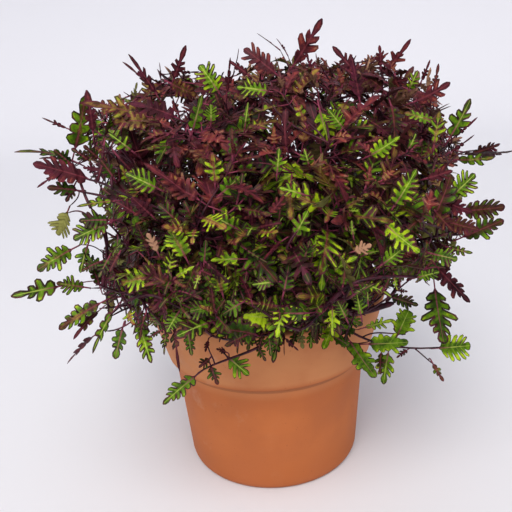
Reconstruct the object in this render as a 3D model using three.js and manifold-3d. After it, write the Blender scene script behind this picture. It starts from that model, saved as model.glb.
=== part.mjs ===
// Cut-leaf coleus growing in a terracotta pot.
// Millimetres, +Z up. The origin is the centre of the pot's flat base.
// The pot, the potting mix, each main stem and each side shoot is a node of its own.

import * as THREE from 'three';
import { mergeVertices } from 'three/addons/utils/BufferGeometryUtils.js';
import Module from 'manifold-3d';

// ---- Driving dimensions ----

// Pot
const POT_HEIGHT = 155.5;
const BASE_RADIUS = 76.5; // where the rounded foot ends
const FOOT_INSET = 5.2;
const FOOT_HEIGHT = 9.3;
const LEDGE_HEIGHT = 102.5; // underside of the band
const BODY_TOP_RADIUS = 84;
const BAND_FOOT_RADIUS = 89.5;
const RIM_RADIUS = 102.4;
const BODY_WALL = 7;
const BAND_WALL = 8.5;
const FLOOR_THICKNESS = 9;
const LIP_ROUND = 2.4;
const POT_SIDES = 44;

// Drain holes, set off the centre so that the base has a flat middle
const DRAIN_COUNT = 3;
const DRAIN_RADIUS = 7;
const DRAIN_RING_RADIUS = 40;
const DRAIN_SIDES = 12;

// Potting mix
const MIX_EDGE_HEIGHT = 136;
const MIX_CROWN = 6;
const ROOTED_DEPTH = 22;

// Gap between pieces that touch
const SEAT_GAP = 0.3;

// Crown of leaves: a rounded box with its middle above the pot's axis
const CROWN_MIDDLE = new THREE.Vector3(0, 0, 200);
const CROWN_REACH_X = 194;
const CROWN_REACH_Y = 160;
const CROWN_RISE = 158;
const CROWN_DROP = 82;
const CROWN_SQUARENESS = 2.7;

// Main stems: an inner ring that rises and an outer ring that leans outwards
const INNER_STEMS = 4;
const INNER_FOOT_RADIUS = 17;
const INNER_TIP_ELEVATION = 62;
const OUTER_STEMS = 8;
const OUTER_FOOT_RADIUS = 47;
const OUTER_TIP_ELEVATIONS = [22, 40];
const STEM_FOOT_RADIUS = 3.4; // out to the corners of the square
const STEM_TIP_RADIUS = 1.5;
const STEM_SIDES = 4; // square stems, as in all the mint family
const STEM_STEPS = 8;
const STEM_SWAY = 0.12; // radians that a stem may lean to one side
const STEM_REACH = [0.84, 0.96]; // shares of the way to the crown's surface
const STEM_FOOT_BEND = { up: 0.34, out: 0.06 }; // shares of the stem's length
const STEM_TIP_BEND = { up: 0.22, out: 0.16 };

// Side shoots
const FREE_SHOOTS = 44;
const SHOOT_FOOT_RADIUS = 2.2;
const SHOOT_TIP_RADIUS = 1.1;
const SHOOT_STEPS = 6;
const HIGHEST_LIFT = 0.97; // how far up the first shoot's tip points, from -1 to 1
const LOWEST_LIFT = -0.78;
const LIFT_SWAY = 0.05;
const AZIMUTH_SWAY = 0.2;
const SHOOT_REACH = [0.9, 1.02];
const SHOOT_FOOT_BEND = 0.3; // shares of the shoot's length
const SHOOT_TIP_BEND = { up: 0.2, out: 0.22 };

// Where a shoot branches off: at the place on a stem that lies nearest to its tip, and then lower
const BRANCH_FROM = 0.34;
const BRANCH_TO = 0.84;
const BRANCH_STEP = 0.05;
const BRANCH_LOWERED = 0.16;
const LOWEST_BRANCH = 0.3;
const WANTED_RISE = 20;
const RISE_WEIGHT = 0.5;

// Room that a shoot's path keeps
const SAMPLES = 28;
const PATH_CLEARANCE = 5.5;
const NEAR_CARRIER = 0.3; // the share of a path that may lie close to its own stem
const CLEAR_OUTSIDE_RIM = 5;
const CLEAR_ABOVE_RIM = 4;
const CLEAR_INSIDE_WALL = 14;
const PATH_TRIES = 160;
const WANDER_PER_TRY = 0.4;

// Shoots with a place of their own: they lean over the rim or reach out past the crown.
// The shoulder is the point that each one bends over on its way to its tip.
const SET_SHOOTS = [
  { shoulder: [-10, -118, 164], tip: [-58, -127, 134] }, // in front, hanging to the left
  { shoulder: [78, -96, 150], tip: [124, -86, 124] }, // right, hanging lowest
  { shoulder: [62, -108, 160], tip: [90, -112, 126] }, // right of the middle, beside it
  { shoulder: [-98, -88, 192], tip: [-132, -96, 158] }, // left
  { shoulder: [-72, -104, 184], tip: [-98, -118, 152] }, // left of the middle
  { shoulder: [-138, -36, 192], tip: [-176, -44, 182] }, // far left
  { shoulder: [122, -44, 186], tip: [152, -58, 162] }, // far right
];

// Leaves
const LEAF_LENGTH = 44;
const LEAF_WIDTH = 19;
const LEAF_THICKNESS = 1.4;
const LEAF_ROOT = 0.3; // how far a leaf starts inside its stem
const LEAF_LEAN = 62; // degrees between a leaf and its stem
const LEAF_LEAN_SWAY = 8;
const TOP_LEAF_SHORTER = 0.45;
const LEAF_LENGTH_RANGE = [0.9, 1.1];
const LEAF_SAG = 0.18;
const PAIRS_ON_STEM = 2;
const PAIRS_ON_SHOOT = 3;
const STEPS_BETWEEN_PAIRS = 2; // each pair grows where two straight lengths of its stem meet
const TOP_PAIR_ALONG = 0.985;
const LEAF_CLEARANCE = 0.5;
const LEAF_TRIMS = [1, 0.97, 0.94, 0.91]; // lengths tried until the leaf joins its stem cleanly
const SHORTEST_EDGE = 0.02; // a joint with finer slivers than this isn't used

// ---- Materials ----

const TERRACOTTA = { color: 0xb57248, roughness: 0.8, metalness: 0 };
const PEAT_MIX = { color: 0x2b1d14, roughness: 1, metalness: 0 };
const STEM_BARK = { color: 0x4a1730, roughness: 0.6, metalness: 0 };
const YOUNG_SHOOT = { color: 0x5f8f22, roughness: 0.55, metalness: 0 };

// ---- Repeatable draws ----

const DRAW_FACTOR = 16807;
const DRAW_LIMIT = 2147483647;
let drawState = 4711;

function draw(low, high) {
  drawState = (drawState * DRAW_FACTOR) % DRAW_LIMIT;
  return low + ((high - low) * drawState) / DRAW_LIMIT;
}

// ---- Solids ----

const wasm = await Module();
wasm.setup();

const radians = THREE.MathUtils.degToRad;
const UP = new THREE.Vector3(0, 0, 1);

function solidOf(geometry) {
  const bare = geometry.clone();
  bare.deleteAttribute('normal');
  bare.deleteAttribute('uv');
  const merged = mergeVertices(bare, 1e-4);
  return new wasm.Manifold(
    new wasm.Mesh({
      numProp: 3,
      vertProperties: merged.attributes.position.array,
      triVerts: new Uint32Array(merged.index.array),
    }),
  );
}

function geometryOf(solid) {
  const { vertProperties, triVerts } = solid.getMesh();
  const geometry = new THREE.BufferGeometry();
  geometry.setAttribute('position', new THREE.BufferAttribute(vertProperties, 3));
  geometry.setIndex(new THREE.BufferAttribute(triVerts, 1));
  const facets = geometry.toNonIndexed();
  facets.computeVertexNormals();
  return facets;
}

function meshOf(name, solid, finish) {
  const mesh = new THREE.Mesh(geometryOf(solid), new THREE.MeshStandardMaterial(finish));
  mesh.name = name;
  return mesh;
}

// A solid of revolution about +Z, from [radius, height] points that run from axis to axis.
function turned(profile) {
  const points = profile.map(([radius, height]) => new THREE.Vector2(radius, height));
  const lathe = new THREE.LatheGeometry(points, POT_SIDES);
  lathe.rotateX(Math.PI / 2);
  return solidOf(lathe);
}

// A tapered stem: a straight prism, bent along the path and narrowed towards its end.
function taperedTube(path, footRadius, tipRadius, sides, steps) {
  const corners = [];
  for (let i = 0; i < sides; i += 1) {
    const angle = (2 * Math.PI * i) / sides;
    corners.push(new THREE.Vector2(Math.cos(angle), Math.sin(angle)));
  }
  const prism = new THREE.ExtrudeGeometry(new THREE.Shape(corners), {
    depth: 1,
    steps,
    bevelEnabled: false,
  });
  const place = prism.attributes.position;
  const corner = new THREE.Vector3();
  for (let i = 0; i < place.count; i += 1) {
    corner.fromBufferAttribute(place, i);
    const along = corner.z;
    const radius = footRadius + (tipRadius - footRadius) * along;
    const { across, over } = pathFrame(path, along);
    const point = path.getPoint(along);
    point.addScaledVector(across, corner.x * radius);
    point.addScaledVector(over, corner.y * radius);
    place.setXYZ(i, point.x, point.y, point.z);
  }
  return solidOf(prism);
}

// Two directions square to the path, kept from twisting by the radius from the pot's axis.
function pathFrame(path, along) {
  const forward = path.getTangent(along);
  const foot = path.getPoint(0);
  const side = new THREE.Vector3(-foot.y, foot.x, 0).normalize();
  const across = side.addScaledVector(forward, -side.dot(forward)).normalize();
  const over = new THREE.Vector3().crossVectors(forward, across);
  return { forward, across, over };
}

// ---- Pot and potting mix ----

function wallInside(height) {
  const floorRadius = BASE_RADIUS - BODY_WALL;
  const ledgeRadius = BODY_TOP_RADIUS - BODY_WALL;
  const rimRadius = RIM_RADIUS - BAND_WALL;
  if (height < LEDGE_HEIGHT) {
    const share = (height - FLOOR_THICKNESS) / (LEDGE_HEIGHT - FLOOR_THICKNESS);
    return floorRadius + (ledgeRadius - floorRadius) * share;
  }
  const share = (height - LEDGE_HEIGHT) / (POT_HEIGHT - LEDGE_HEIGHT);
  return ledgeRadius + (rimRadius - ledgeRadius) * share;
}

function roundedFoot() {
  const points = [];
  for (const angle of [0, 30, 60, 90]) {
    const inward = FOOT_INSET * (1 - Math.sin(radians(angle)));
    const height = FOOT_HEIGHT * (1 - Math.cos(radians(angle)));
    points.push([BASE_RADIUS - inward, height]);
  }
  return points;
}

function makePot() {
  const profile = [
    [0, 0],
    ...roundedFoot(),
    [BODY_TOP_RADIUS, LEDGE_HEIGHT],
    [BAND_FOOT_RADIUS - LIP_ROUND / 2, LEDGE_HEIGHT],
    [BAND_FOOT_RADIUS, LEDGE_HEIGHT + LIP_ROUND / 2],
    [RIM_RADIUS, POT_HEIGHT - LIP_ROUND],
    [RIM_RADIUS - LIP_ROUND, POT_HEIGHT],
    [RIM_RADIUS - BAND_WALL + LIP_ROUND, POT_HEIGHT],
    [wallInside(POT_HEIGHT - LIP_ROUND), POT_HEIGHT - LIP_ROUND],
    [wallInside(LEDGE_HEIGHT), LEDGE_HEIGHT],
    [wallInside(FLOOR_THICKNESS), FLOOR_THICKNESS],
    [0, FLOOR_THICKNESS],
  ];
  let pot = turned(profile);
  for (let i = 0; i < DRAIN_COUNT; i += 1) {
    const angle = (2 * Math.PI * i) / DRAIN_COUNT + Math.PI / 2;
    const drill = new THREE.CylinderGeometry(DRAIN_RADIUS, DRAIN_RADIUS, 4 * FLOOR_THICKNESS, DRAIN_SIDES);
    drill.rotateX(Math.PI / 2);
    drill.translate(DRAIN_RING_RADIUS * Math.cos(angle), DRAIN_RING_RADIUS * Math.sin(angle), 0);
    pot = pot.subtract(solidOf(drill));
  }
  return pot;
}

function mixHeight(radius) {
  const share = radius / wallInside(MIX_EDGE_HEIGHT);
  return MIX_EDGE_HEIGHT + MIX_CROWN * (1 - share * share);
}

function makeMix(stemPaths) {
  const bottom = FLOOR_THICKNESS + SEAT_GAP;
  const edge = wallInside(MIX_EDGE_HEIGHT) - SEAT_GAP;
  let mix = turned([
    [0, bottom],
    [wallInside(bottom) - SEAT_GAP, bottom],
    [wallInside(LEDGE_HEIGHT) - SEAT_GAP, LEDGE_HEIGHT],
    [edge, MIX_EDGE_HEIGHT],
    [edge / 2, mixHeight(edge / 2)],
    [0, mixHeight(0)],
  ]);
  for (const path of stemPaths) {
    const { forward } = pathFrame(path, 0);
    const socket = path.clone();
    socket.v0.addScaledVector(forward, -SEAT_GAP);
    const footRadius = STEM_FOOT_RADIUS + SEAT_GAP / Math.cos(Math.PI / STEM_SIDES);
    const tipRadius = STEM_TIP_RADIUS + SEAT_GAP / Math.cos(Math.PI / STEM_SIDES);
    mix = mix.subtract(taperedTube(socket, footRadius, tipRadius, STEM_SIDES, STEM_STEPS));
  }
  return mix;
}

// ---- Paths of the stems and shoots ----

// The crown's surface in a direction given by its azimuth and by how far up or down it points.
function crownPoint(azimuth, lift, reach) {
  const level = Math.sqrt(Math.max(0, 1 - lift * lift));
  const x = level * Math.cos(azimuth);
  const y = level * Math.sin(azimuth);
  const n = CROWN_SQUARENESS;
  const size = (Math.abs(x) ** n + Math.abs(y) ** n + Math.abs(lift) ** n) ** (-1 / n);
  const height = lift > 0 ? CROWN_RISE : CROWN_DROP;
  const point = new THREE.Vector3(CROWN_REACH_X * x, CROWN_REACH_Y * y, height * lift);
  return point.multiplyScalar(size * reach).add(CROWN_MIDDLE);
}

function outward(point) {
  return new THREE.Vector3(point.x, point.y, 0).normalize();
}

function stemPath(azimuth, footRadius, elevation) {
  const foot = new THREE.Vector3(Math.cos(azimuth), Math.sin(azimuth), 0).multiplyScalar(footRadius);
  foot.z = mixHeight(footRadius) - ROOTED_DEPTH;
  const leaning = azimuth + draw(-STEM_SWAY, STEM_SWAY);
  const tip = crownPoint(leaning, Math.sin(elevation), draw(...STEM_REACH));
  const length = foot.distanceTo(tip);
  const low = foot.clone().addScaledVector(UP, length * STEM_FOOT_BEND.up);
  low.addScaledVector(outward(tip), length * STEM_FOOT_BEND.out);
  const high = tip.clone().addScaledVector(UP, -length * STEM_TIP_BEND.up);
  high.addScaledVector(outward(tip), -length * STEM_TIP_BEND.out);
  return new THREE.CubicBezierCurve3(foot, low, high, tip);
}

function makeStemPaths() {
  const paths = [];
  for (let i = 0; i < INNER_STEMS; i += 1) {
    const azimuth = (2 * Math.PI * (i + 0.5)) / INNER_STEMS;
    paths.push(stemPath(azimuth, INNER_FOOT_RADIUS, radians(INNER_TIP_ELEVATION)));
  }
  for (let i = 0; i < OUTER_STEMS; i += 1) {
    const azimuth = (2 * Math.PI * (i + 0.25)) / OUTER_STEMS;
    const elevation = OUTER_TIP_ELEVATIONS[i % OUTER_TIP_ELEVATIONS.length];
    paths.push(stemPath(azimuth, OUTER_FOOT_RADIUS, radians(elevation)));
  }
  return paths;
}

// Where on the stems a shoot with this tip branches off, and the shoot's path.
function shootPath(tip, shoulder, stemPaths) {
  let best = { distance: Infinity };
  stemPaths.forEach((path, stem) => {
    for (let along = BRANCH_FROM; along < BRANCH_TO; along += BRANCH_STEP) {
      const point = path.getPoint(along);
      const missingRise = Math.max(0, WANTED_RISE - (tip.z - point.z));
      const distance = point.distanceTo(tip) + RISE_WEIGHT * missingRise;
      if (distance < best.distance) best = { distance, stem, along };
    }
  });
  const path = stemPaths[best.stem];
  const along = Math.max(LOWEST_BRANCH, best.along - BRANCH_LOWERED);
  const start = path.getPoint(along);
  const forward = path.getTangent(along);
  const away = tip.clone().sub(start);
  const length = away.length();
  const square = away.addScaledVector(forward, -away.dot(forward)).normalize();
  const stemRadius = STEM_FOOT_RADIUS + (STEM_TIP_RADIUS - STEM_FOOT_RADIUS) * along;
  const foot = start.clone().addScaledVector(square, stemRadius + SEAT_GAP);
  const low = foot.clone().addScaledVector(square, length * SHOOT_FOOT_BEND);
  const high = tip.clone().addScaledVector(outward(tip), -length * SHOOT_TIP_BEND.out);
  const bend = length * SHOOT_TIP_BEND.up;
  high.addScaledVector(UP, tip.z > CROWN_MIDDLE.z ? -bend : bend);
  return { path: new THREE.CubicBezierCurve3(foot, low, shoulder ?? high, tip), stem: best.stem };
}

function clearOfPot(points) {
  return points.every((point) => {
    const radius = Math.hypot(point.x, point.y);
    const outside = radius > RIM_RADIUS + CLEAR_OUTSIDE_RIM;
    const above = point.z > POT_HEIGHT + CLEAR_ABOVE_RIM;
    const inside = radius < wallInside(MIX_EDGE_HEIGHT) - CLEAR_INSIDE_WALL;
    return outside || above || inside;
  });
}

// A path may start close to the stem that carries it, and keeps clear of all the others.
function clearOfPaths(points, others, carrier) {
  return others.every((other, index) => {
    const skipped = index === carrier ? SAMPLES * NEAR_CARRIER : 0;
    return points.every(
      (point, i) => i < skipped || other.every((place) => point.distanceTo(place) > PATH_CLEARANCE),
    );
  });
}

// A set shoot's tip wanders a little further from its place with each try.
function setTip(set, attempt) {
  const wander = () => draw(-WANDER_PER_TRY, WANDER_PER_TRY) * attempt;
  return new THREE.Vector3(...set.tip).add(new THREE.Vector3(wander(), wander(), wander()));
}

// The free tips follow a spiral down the crown, a golden angle apart.
function freeTip(index) {
  const share = (index + 0.5) / FREE_SHOOTS;
  const lift = HIGHEST_LIFT - (HIGHEST_LIFT - LOWEST_LIFT) * share + draw(-LIFT_SWAY, LIFT_SWAY);
  const azimuth = index * Math.PI * (3 - Math.sqrt(5)) + draw(-AZIMUTH_SWAY, AZIMUTH_SWAY);
  return crownPoint(azimuth, lift, draw(...SHOOT_REACH));
}

function makeShootPaths(stemPaths) {
  const kept = [];
  const taken = stemPaths.map((path) => path.getPoints(SAMPLES));
  for (let i = 0; i < SET_SHOOTS.length + FREE_SHOOTS; i += 1) {
    const set = SET_SHOOTS[i];
    for (let attempt = 0; attempt < PATH_TRIES; attempt += 1) {
      const tip = set ? setTip(set, attempt) : freeTip(i - SET_SHOOTS.length);
      const shoulder = set && new THREE.Vector3(...set.shoulder);
      const { path, stem } = shootPath(tip, shoulder, stemPaths);
      const points = path.getPoints(SAMPLES);
      if (clearOfPot(points) && clearOfPaths(points, taken, stem)) {
        kept.push(path);
        taken.push(points);
        break;
      }
    }
  }
  return kept;
}

// ---- Leaves ----

// A leaf is a flattened six-sided double cone: pointed at both ends and widest past the middle.
function leafSolid(root, direction, face, length, extra) {
  const blade = new THREE.SphereGeometry(1, 6, 2);
  const side = new THREE.Vector3().crossVectors(face, direction);
  const place = blade.attributes.position;
  const corner = new THREE.Vector3();
  for (let i = 0; i < place.count; i += 1) {
    corner.fromBufferAttribute(place, i);
    const along = 0.5 + corner.x / 2;
    const point = root.clone();
    point.addScaledVector(direction, along * length - LEAF_ROOT);
    point.addScaledVector(UP, -LEAF_SAG * length * along * along);
    point.addScaledVector(side, -corner.z * (LEAF_WIDTH / 2 + extra) * (length / LEAF_LENGTH));
    point.addScaledVector(face, corner.y * (LEAF_THICKNESS / 2 + extra));
    place.setXYZ(i, point.x, point.y, point.z);
  }
  return solidOf(blade);
}

// Where a path's leaves grow: pairs that turn a quarter from one joint of the stem to the next.
function leafPlaces(path, pairs, steps) {
  const places = [];
  for (let pair = 0; pair < pairs; pair += 1) {
    const step = steps - STEPS_BETWEEN_PAIRS * (pairs - 1 - pair);
    const along = Math.min(step / steps, TOP_PAIR_ALONG);
    const { forward, across, over } = pathFrame(path, along);
    const turn = Math.PI / 4 + (pair % 2) * (Math.PI / 2);
    const shorter = 1 - TOP_LEAF_SHORTER * (pair / (pairs - 1)) ** 2;
    const length = LEAF_LENGTH * shorter * draw(...LEAF_LENGTH_RANGE);
    for (const half of [0, Math.PI]) {
      const sideways = across.clone().multiplyScalar(Math.cos(turn + half));
      sideways.addScaledVector(over, Math.sin(turn + half));
      const lean = radians(LEAF_LEAN + draw(-LEAF_LEAN_SWAY, LEAF_LEAN_SWAY));
      const direction = forward.clone().multiplyScalar(Math.cos(lean));
      direction.addScaledVector(sideways, Math.sin(lean));
      const face = forward.clone().addScaledVector(direction, -forward.dot(direction)).normalize();
      places.push({ root: path.getPoint(along), direction, face, length });
    }
  }
  return places;
}

function shortestEdge(solid) {
  const { vertProperties, triVerts } = solid.getMesh();
  const vertex = (i) => new THREE.Vector3().fromArray(vertProperties, 3 * triVerts[i]);
  let shortest = Infinity;
  for (let i = 0; i < triVerts.length; i += 3) {
    for (const [a, b] of [[0, 1], [1, 2], [2, 0]]) {
      shortest = Math.min(shortest, vertex(i + a).distanceTo(vertex(i + b)));
    }
  }
  return shortest;
}

function boxesMeet(a, b) {
  return [0, 1, 2].every((k) => a.min[k] < b.max[k] && b.min[k] < a.max[k]);
}

// Adds a path's leaves to its own solid, leaving off each leaf that would reach another piece.
function addLeaves(pieces, index, places) {
  const piece = pieces[index];
  for (const { root, direction, face, length } of places) {
    const reach = leafSolid(root, direction, face, length, LEAF_CLEARANCE);
    const reachBox = reach.boundingBox();
    const blocked = pieces.some((other, i) => {
      if (i === index || !boxesMeet(reachBox, other.box)) return false;
      return !reach.intersect(other.solid).isEmpty();
    });
    if (blocked) continue;
    for (const trim of LEAF_TRIMS) {
      const joined = piece.solid.add(leafSolid(root, direction, face, length * trim, 0));
      if (shortestEdge(joined) > SHORTEST_EDGE) {
        piece.solid = joined;
        piece.box = joined.boundingBox();
        break;
      }
    }
  }
}

// ---- Assembly ----

function twoDigits(number) {
  return String(number).padStart(2, '0');
}

function makePieces() {
  const stemPaths = makeStemPaths();
  const shootPaths = makeShootPaths(stemPaths);
  const pieces = [
    { name: 'pot', solid: makePot(), finish: TERRACOTTA },
    { name: 'potting_mix', solid: makeMix(stemPaths), finish: PEAT_MIX },
  ];
  stemPaths.forEach((path, i) => {
    const solid = taperedTube(path, STEM_FOOT_RADIUS, STEM_TIP_RADIUS, STEM_SIDES, STEM_STEPS);
    const name = `main_stem_${twoDigits(i + 1)}`;
    pieces.push({ name, solid, finish: STEM_BARK, path, pairs: PAIRS_ON_STEM, steps: STEM_STEPS });
  });
  shootPaths.forEach((path, i) => {
    const solid = taperedTube(path, SHOOT_FOOT_RADIUS, SHOOT_TIP_RADIUS, STEM_SIDES, SHOOT_STEPS);
    const name = `side_shoot_${twoDigits(i + 1)}`;
    pieces.push({ name, solid, finish: YOUNG_SHOOT, path, pairs: PAIRS_ON_SHOOT, steps: SHOOT_STEPS });
  });
  for (const piece of pieces) piece.box = piece.solid.boundingBox();
  pieces.forEach((piece, index) => {
    if (piece.path) addLeaves(pieces, index, leafPlaces(piece.path, piece.pairs, piece.steps));
  });
  return pieces;
}

const coleus = new THREE.Group();
coleus.name = 'potted_coleus';
for (const { name, solid, finish } of makePieces()) {
  coleus.add(meshOf(name, solid, finish));
}

export default coleus;
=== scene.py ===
# %% [markdown]
# # A cut-leaf coleus in a terracotta pot
#
# A bushy coleus grows in a squat clay pot. Twelve square stems rise from the potting mix, side shoots
# fork from them, and pairs of frilled leaves close the crown into one rounded dome.
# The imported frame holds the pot, the mix and a plain solid for each stem and shoot. This script keeps
# their places and grows the fine leaves, twigs, clay and peat that the plain solids stand in for.

import math
from collections import namedtuple

import bpy
import numpy as np
from mathutils import Matrix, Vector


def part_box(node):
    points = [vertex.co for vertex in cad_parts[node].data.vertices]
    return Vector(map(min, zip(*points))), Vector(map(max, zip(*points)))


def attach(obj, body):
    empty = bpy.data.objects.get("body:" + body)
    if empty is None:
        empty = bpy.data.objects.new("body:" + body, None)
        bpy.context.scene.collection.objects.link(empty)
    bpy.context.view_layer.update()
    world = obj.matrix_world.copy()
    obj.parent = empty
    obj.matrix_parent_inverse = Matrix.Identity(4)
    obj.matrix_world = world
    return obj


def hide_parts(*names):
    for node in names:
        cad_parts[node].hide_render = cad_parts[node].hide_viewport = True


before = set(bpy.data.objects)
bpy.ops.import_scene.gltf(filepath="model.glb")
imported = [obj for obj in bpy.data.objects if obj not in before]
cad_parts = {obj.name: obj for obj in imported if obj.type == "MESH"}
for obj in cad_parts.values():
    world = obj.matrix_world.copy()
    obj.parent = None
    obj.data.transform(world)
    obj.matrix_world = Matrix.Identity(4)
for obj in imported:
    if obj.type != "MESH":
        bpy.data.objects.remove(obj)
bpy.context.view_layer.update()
BODY = "root"

# %% [markdown]
# ## Units and repeatable chance
#
# Every length below is in millimetres, as on a grower's ruler, and is turned to metres only when a
# mesh is made. Chance decides where a twig leans or how a leaf curls. A seeded generator could serve
# alone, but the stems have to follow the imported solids, so their own small draw is repeated too.

# %% Units, colour and chance
MM = 0.001
UP = np.array([0.0, 0.0, 1.0])
chance = np.random.default_rng(20)


def paint(hex_colour):
    """A colour given as sRGB hex, turned linear: c / 12.92 up to 0.04045, and above it the power 2.4 of
    (c + 0.055) / 1.055."""
    channels = [int(hex_colour[i : i + 2], 16) / 255 for i in (1, 3, 5)]
    return (*(c / 12.92 if c <= 0.04045 else ((c + 0.055) / 1.055) ** 2.4 for c in channels), 1.0)


def unit(vectors):
    """Each vector divided by its length."""
    size = np.linalg.norm(vectors, axis=-1, keepdims=True)
    return vectors / np.maximum(size, 1e-12)


# %% [markdown]
# ## The camera
#
# The plant stands on a table and is seen from a little above, so the top of the crown is closer to
# the eye than the pot's foot. The camera could be aimed by a constraint. Here its turn is worked out
# from where the middle of the pot's base lands in the picture, which also gives a function that says
# where in space a place in the picture lies.

# %% Camera
PICTURE_SIDE = 512
LENS_IN_PIXELS = 600.0
SENSOR_WIDTH = 36.0
EYE_ELEVATION = math.radians(35.2)
EYE_DISTANCE = 597.5  # from the middle of the pot's base
EYE_ROLL = math.radians(3.2)
BASE_SEEN_AT = (274.1, 435.7)
CLIP_METRES = (0.01, 30.0)


def eye_axes():
    """The camera's right, up and forward: level axes, rolled, then swung until the base shows in its
    place."""
    middle = PICTURE_SIDE / 2
    to_base = unit(np.array([BASE_SEEN_AT[0] - middle, middle - BASE_SEEN_AT[1], LENS_IN_PIXELS]))
    hinge = unit(np.cross([0.0, 0.0, 1.0], to_base))
    k = np.array([[0, -hinge[2], hinge[1]], [hinge[2], 0, -hinge[0]], [-hinge[1], hinge[0], 0]])
    swing = np.eye(3) + math.sin(math.acos(to_base[2])) * k + (1 - to_base[2]) * k @ k
    c, s = math.cos(EYE_ROLL), math.sin(EYE_ROLL)
    roll = np.array([[c, -s, 0], [s, c, 0], [0, 0, 1]])
    c, s = math.cos(EYE_ELEVATION), math.sin(EYE_ELEVATION)
    level = np.array([[1, 0, 0], [0, s, c], [0, c, -s]])
    return swing @ roll @ level


eye_right, eye_up, eye_forward = eye_axes()
eye_place = EYE_DISTANCE * np.array([0, -math.cos(EYE_ELEVATION), math.sin(EYE_ELEVATION)])


def sight(pixel):
    """The unit direction from the eye through a place in the picture."""
    across = (pixel[0] - PICTURE_SIDE / 2) / LENS_IN_PIXELS
    upward = (PICTURE_SIDE / 2 - pixel[1]) / LENS_IN_PIXELS
    return unit(across * eye_right + upward * eye_up + eye_forward)


def seen_at(pixel, depth):
    """The point, in mm, that shows at this place in the picture and lies on the upright plane y = depth."""
    ray = sight(pixel)
    return eye_place + ray * (depth - eye_place[1]) / ray[1]


def picture_place(points):
    """Where points in mm show in the picture."""
    away = points - eye_place
    near = away @ eye_forward
    across = PICTURE_SIDE / 2 + LENS_IN_PIXELS * (away @ eye_right) / near
    down = PICTURE_SIDE / 2 - LENS_IN_PIXELS * (away @ eye_up) / near
    return np.stack([across, down], -1)


def standing(right, up, back, place):
    """The matrix of an object at a place in mm, whose own axes point right, up and back."""
    matrix = np.eye(4)
    matrix[:3] = np.stack([right, up, back, np.asarray(place) * MM], -1)
    return Matrix(matrix)


lens = bpy.data.cameras.new("eye")
lens.sensor_width = SENSOR_WIDTH
lens.lens = LENS_IN_PIXELS / PICTURE_SIDE * SENSOR_WIDTH
lens.clip_start, lens.clip_end = CLIP_METRES
camera = bpy.data.objects.new("eye", lens)
bpy.context.scene.collection.objects.link(camera)
camera.matrix_world = standing(eye_right, eye_up, -eye_forward, eye_place)
bpy.context.scene.camera = camera
print("camera: lens", round(lens.lens, 2), "mm, at", (eye_place * MM).round(3))

# %% [markdown]
# ## From arrays to a mesh
#
# Every piece below is a surface worked out as whole arrays: rows of points along it and columns
# around it. Faces join each row to the next. One helper hands such arrays to Blender at once, which is
# far quicker than adding faces one by one, and two more give the faces of closed grids and of copies.

# %% Mesh helpers
def piece_of(name, points, faces, materials, corner_values=None, sharp_edges=None):
    """A mesh object from points in mm (n, 3) and four-cornered faces (m, 4), smooth but for sharp edges."""
    mesh = bpy.data.meshes.new(name)
    mesh.vertices.add(len(points))
    mesh.vertices.foreach_set("co", np.ascontiguousarray(points * MM, np.float32).ravel())
    mesh.loops.add(faces.size)
    mesh.loops.foreach_set("vertex_index", np.ascontiguousarray(faces, np.int32).ravel())
    mesh.polygons.add(len(faces))
    mesh.polygons.foreach_set("loop_start", np.arange(0, faces.size, 4, dtype=np.int32))
    mesh.update(calc_edges=True)
    mesh.shade_smooth()
    for label, values in (corner_values or {}).items():
        layer = mesh.attributes.new(label, "FLOAT_VECTOR", "CORNER")
        layer.data.foreach_set("vector", np.ascontiguousarray(values, np.float32).ravel())
    if sharp_edges is not None:
        ends = np.empty(2 * len(mesh.edges), np.int32)
        mesh.edges.foreach_get("vertices", ends)
        sharp = mesh.attributes.new("sharp_edge", "BOOLEAN", "EDGE")
        sharp.data.foreach_set("value", sharp_edges(ends.reshape(-1, 2)))
    for material in materials:
        mesh.materials.append(material)
    mesh.validate()
    made = bpy.data.objects.new(name, mesh)
    bpy.context.scene.collection.objects.link(made)
    return made


def ring_faces(rows, columns):
    """Faces that join each ring of points to the next, then flat ends that fan out from the first point
    of each end ring."""
    row = np.arange(rows - 1)[:, None] * columns
    column = np.arange(columns)[None, :]
    beside = (column + 1) % columns
    sides = np.stack([row + column, row + beside, row + columns + beside, row + columns + column], -1)
    step = np.arange(1, columns - 1, 2)
    fan = np.stack([0 * step, step, step + 1, step + 2], -1)
    return np.concatenate([sides.reshape(-1, 4), fan[:, ::-1], fan + (rows - 1) * columns])


def copies_of(faces, points_each, count):
    """The faces of many copies of one shape, whose points are stored copy after copy."""
    return (faces[None] + np.arange(count)[:, None, None] * points_each).reshape(-1, 4)


print("mesh helpers: piece_of, ring_faces, copies_of")

# %% [markdown]
# ## From nodes to a finish
#
# A finish is a tree of nodes, and most of them only say how thickly one colour lies over another. One
# function adds any node. The others put small groups together in a painter's words: a share made of
# several reasons, a tint laid over a colour, a ramp of tints, a grain of a real size, and the last step
# that joins the shader and its relief to the output.

# %% Node helpers
def put(tree, kind, inputs=(), out=0, **settings):
    """Adds one node and gives one of its outputs. inputs fills its sockets, in order or by name or
    number, each with a value or with the output that feeds it."""
    node = tree.nodes.new("ShaderNode" + kind)
    for setting, value in settings.items():
        setattr(node, setting, value)
    for socket, value in inputs.items() if isinstance(inputs, dict) else enumerate(inputs):
        if isinstance(value, bpy.types.NodeSocket):
            tree.links.new(value, node.inputs[socket])
        else:
            node.inputs[socket].default_value = value
    return node.outputs[out] if len(node.outputs) else None


def new_material(name):
    """A material and its empty node tree."""
    material = bpy.data.materials.new(name)
    material.use_nodes = True
    material.node_tree.nodes.clear()
    return material, material.node_tree


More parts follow.
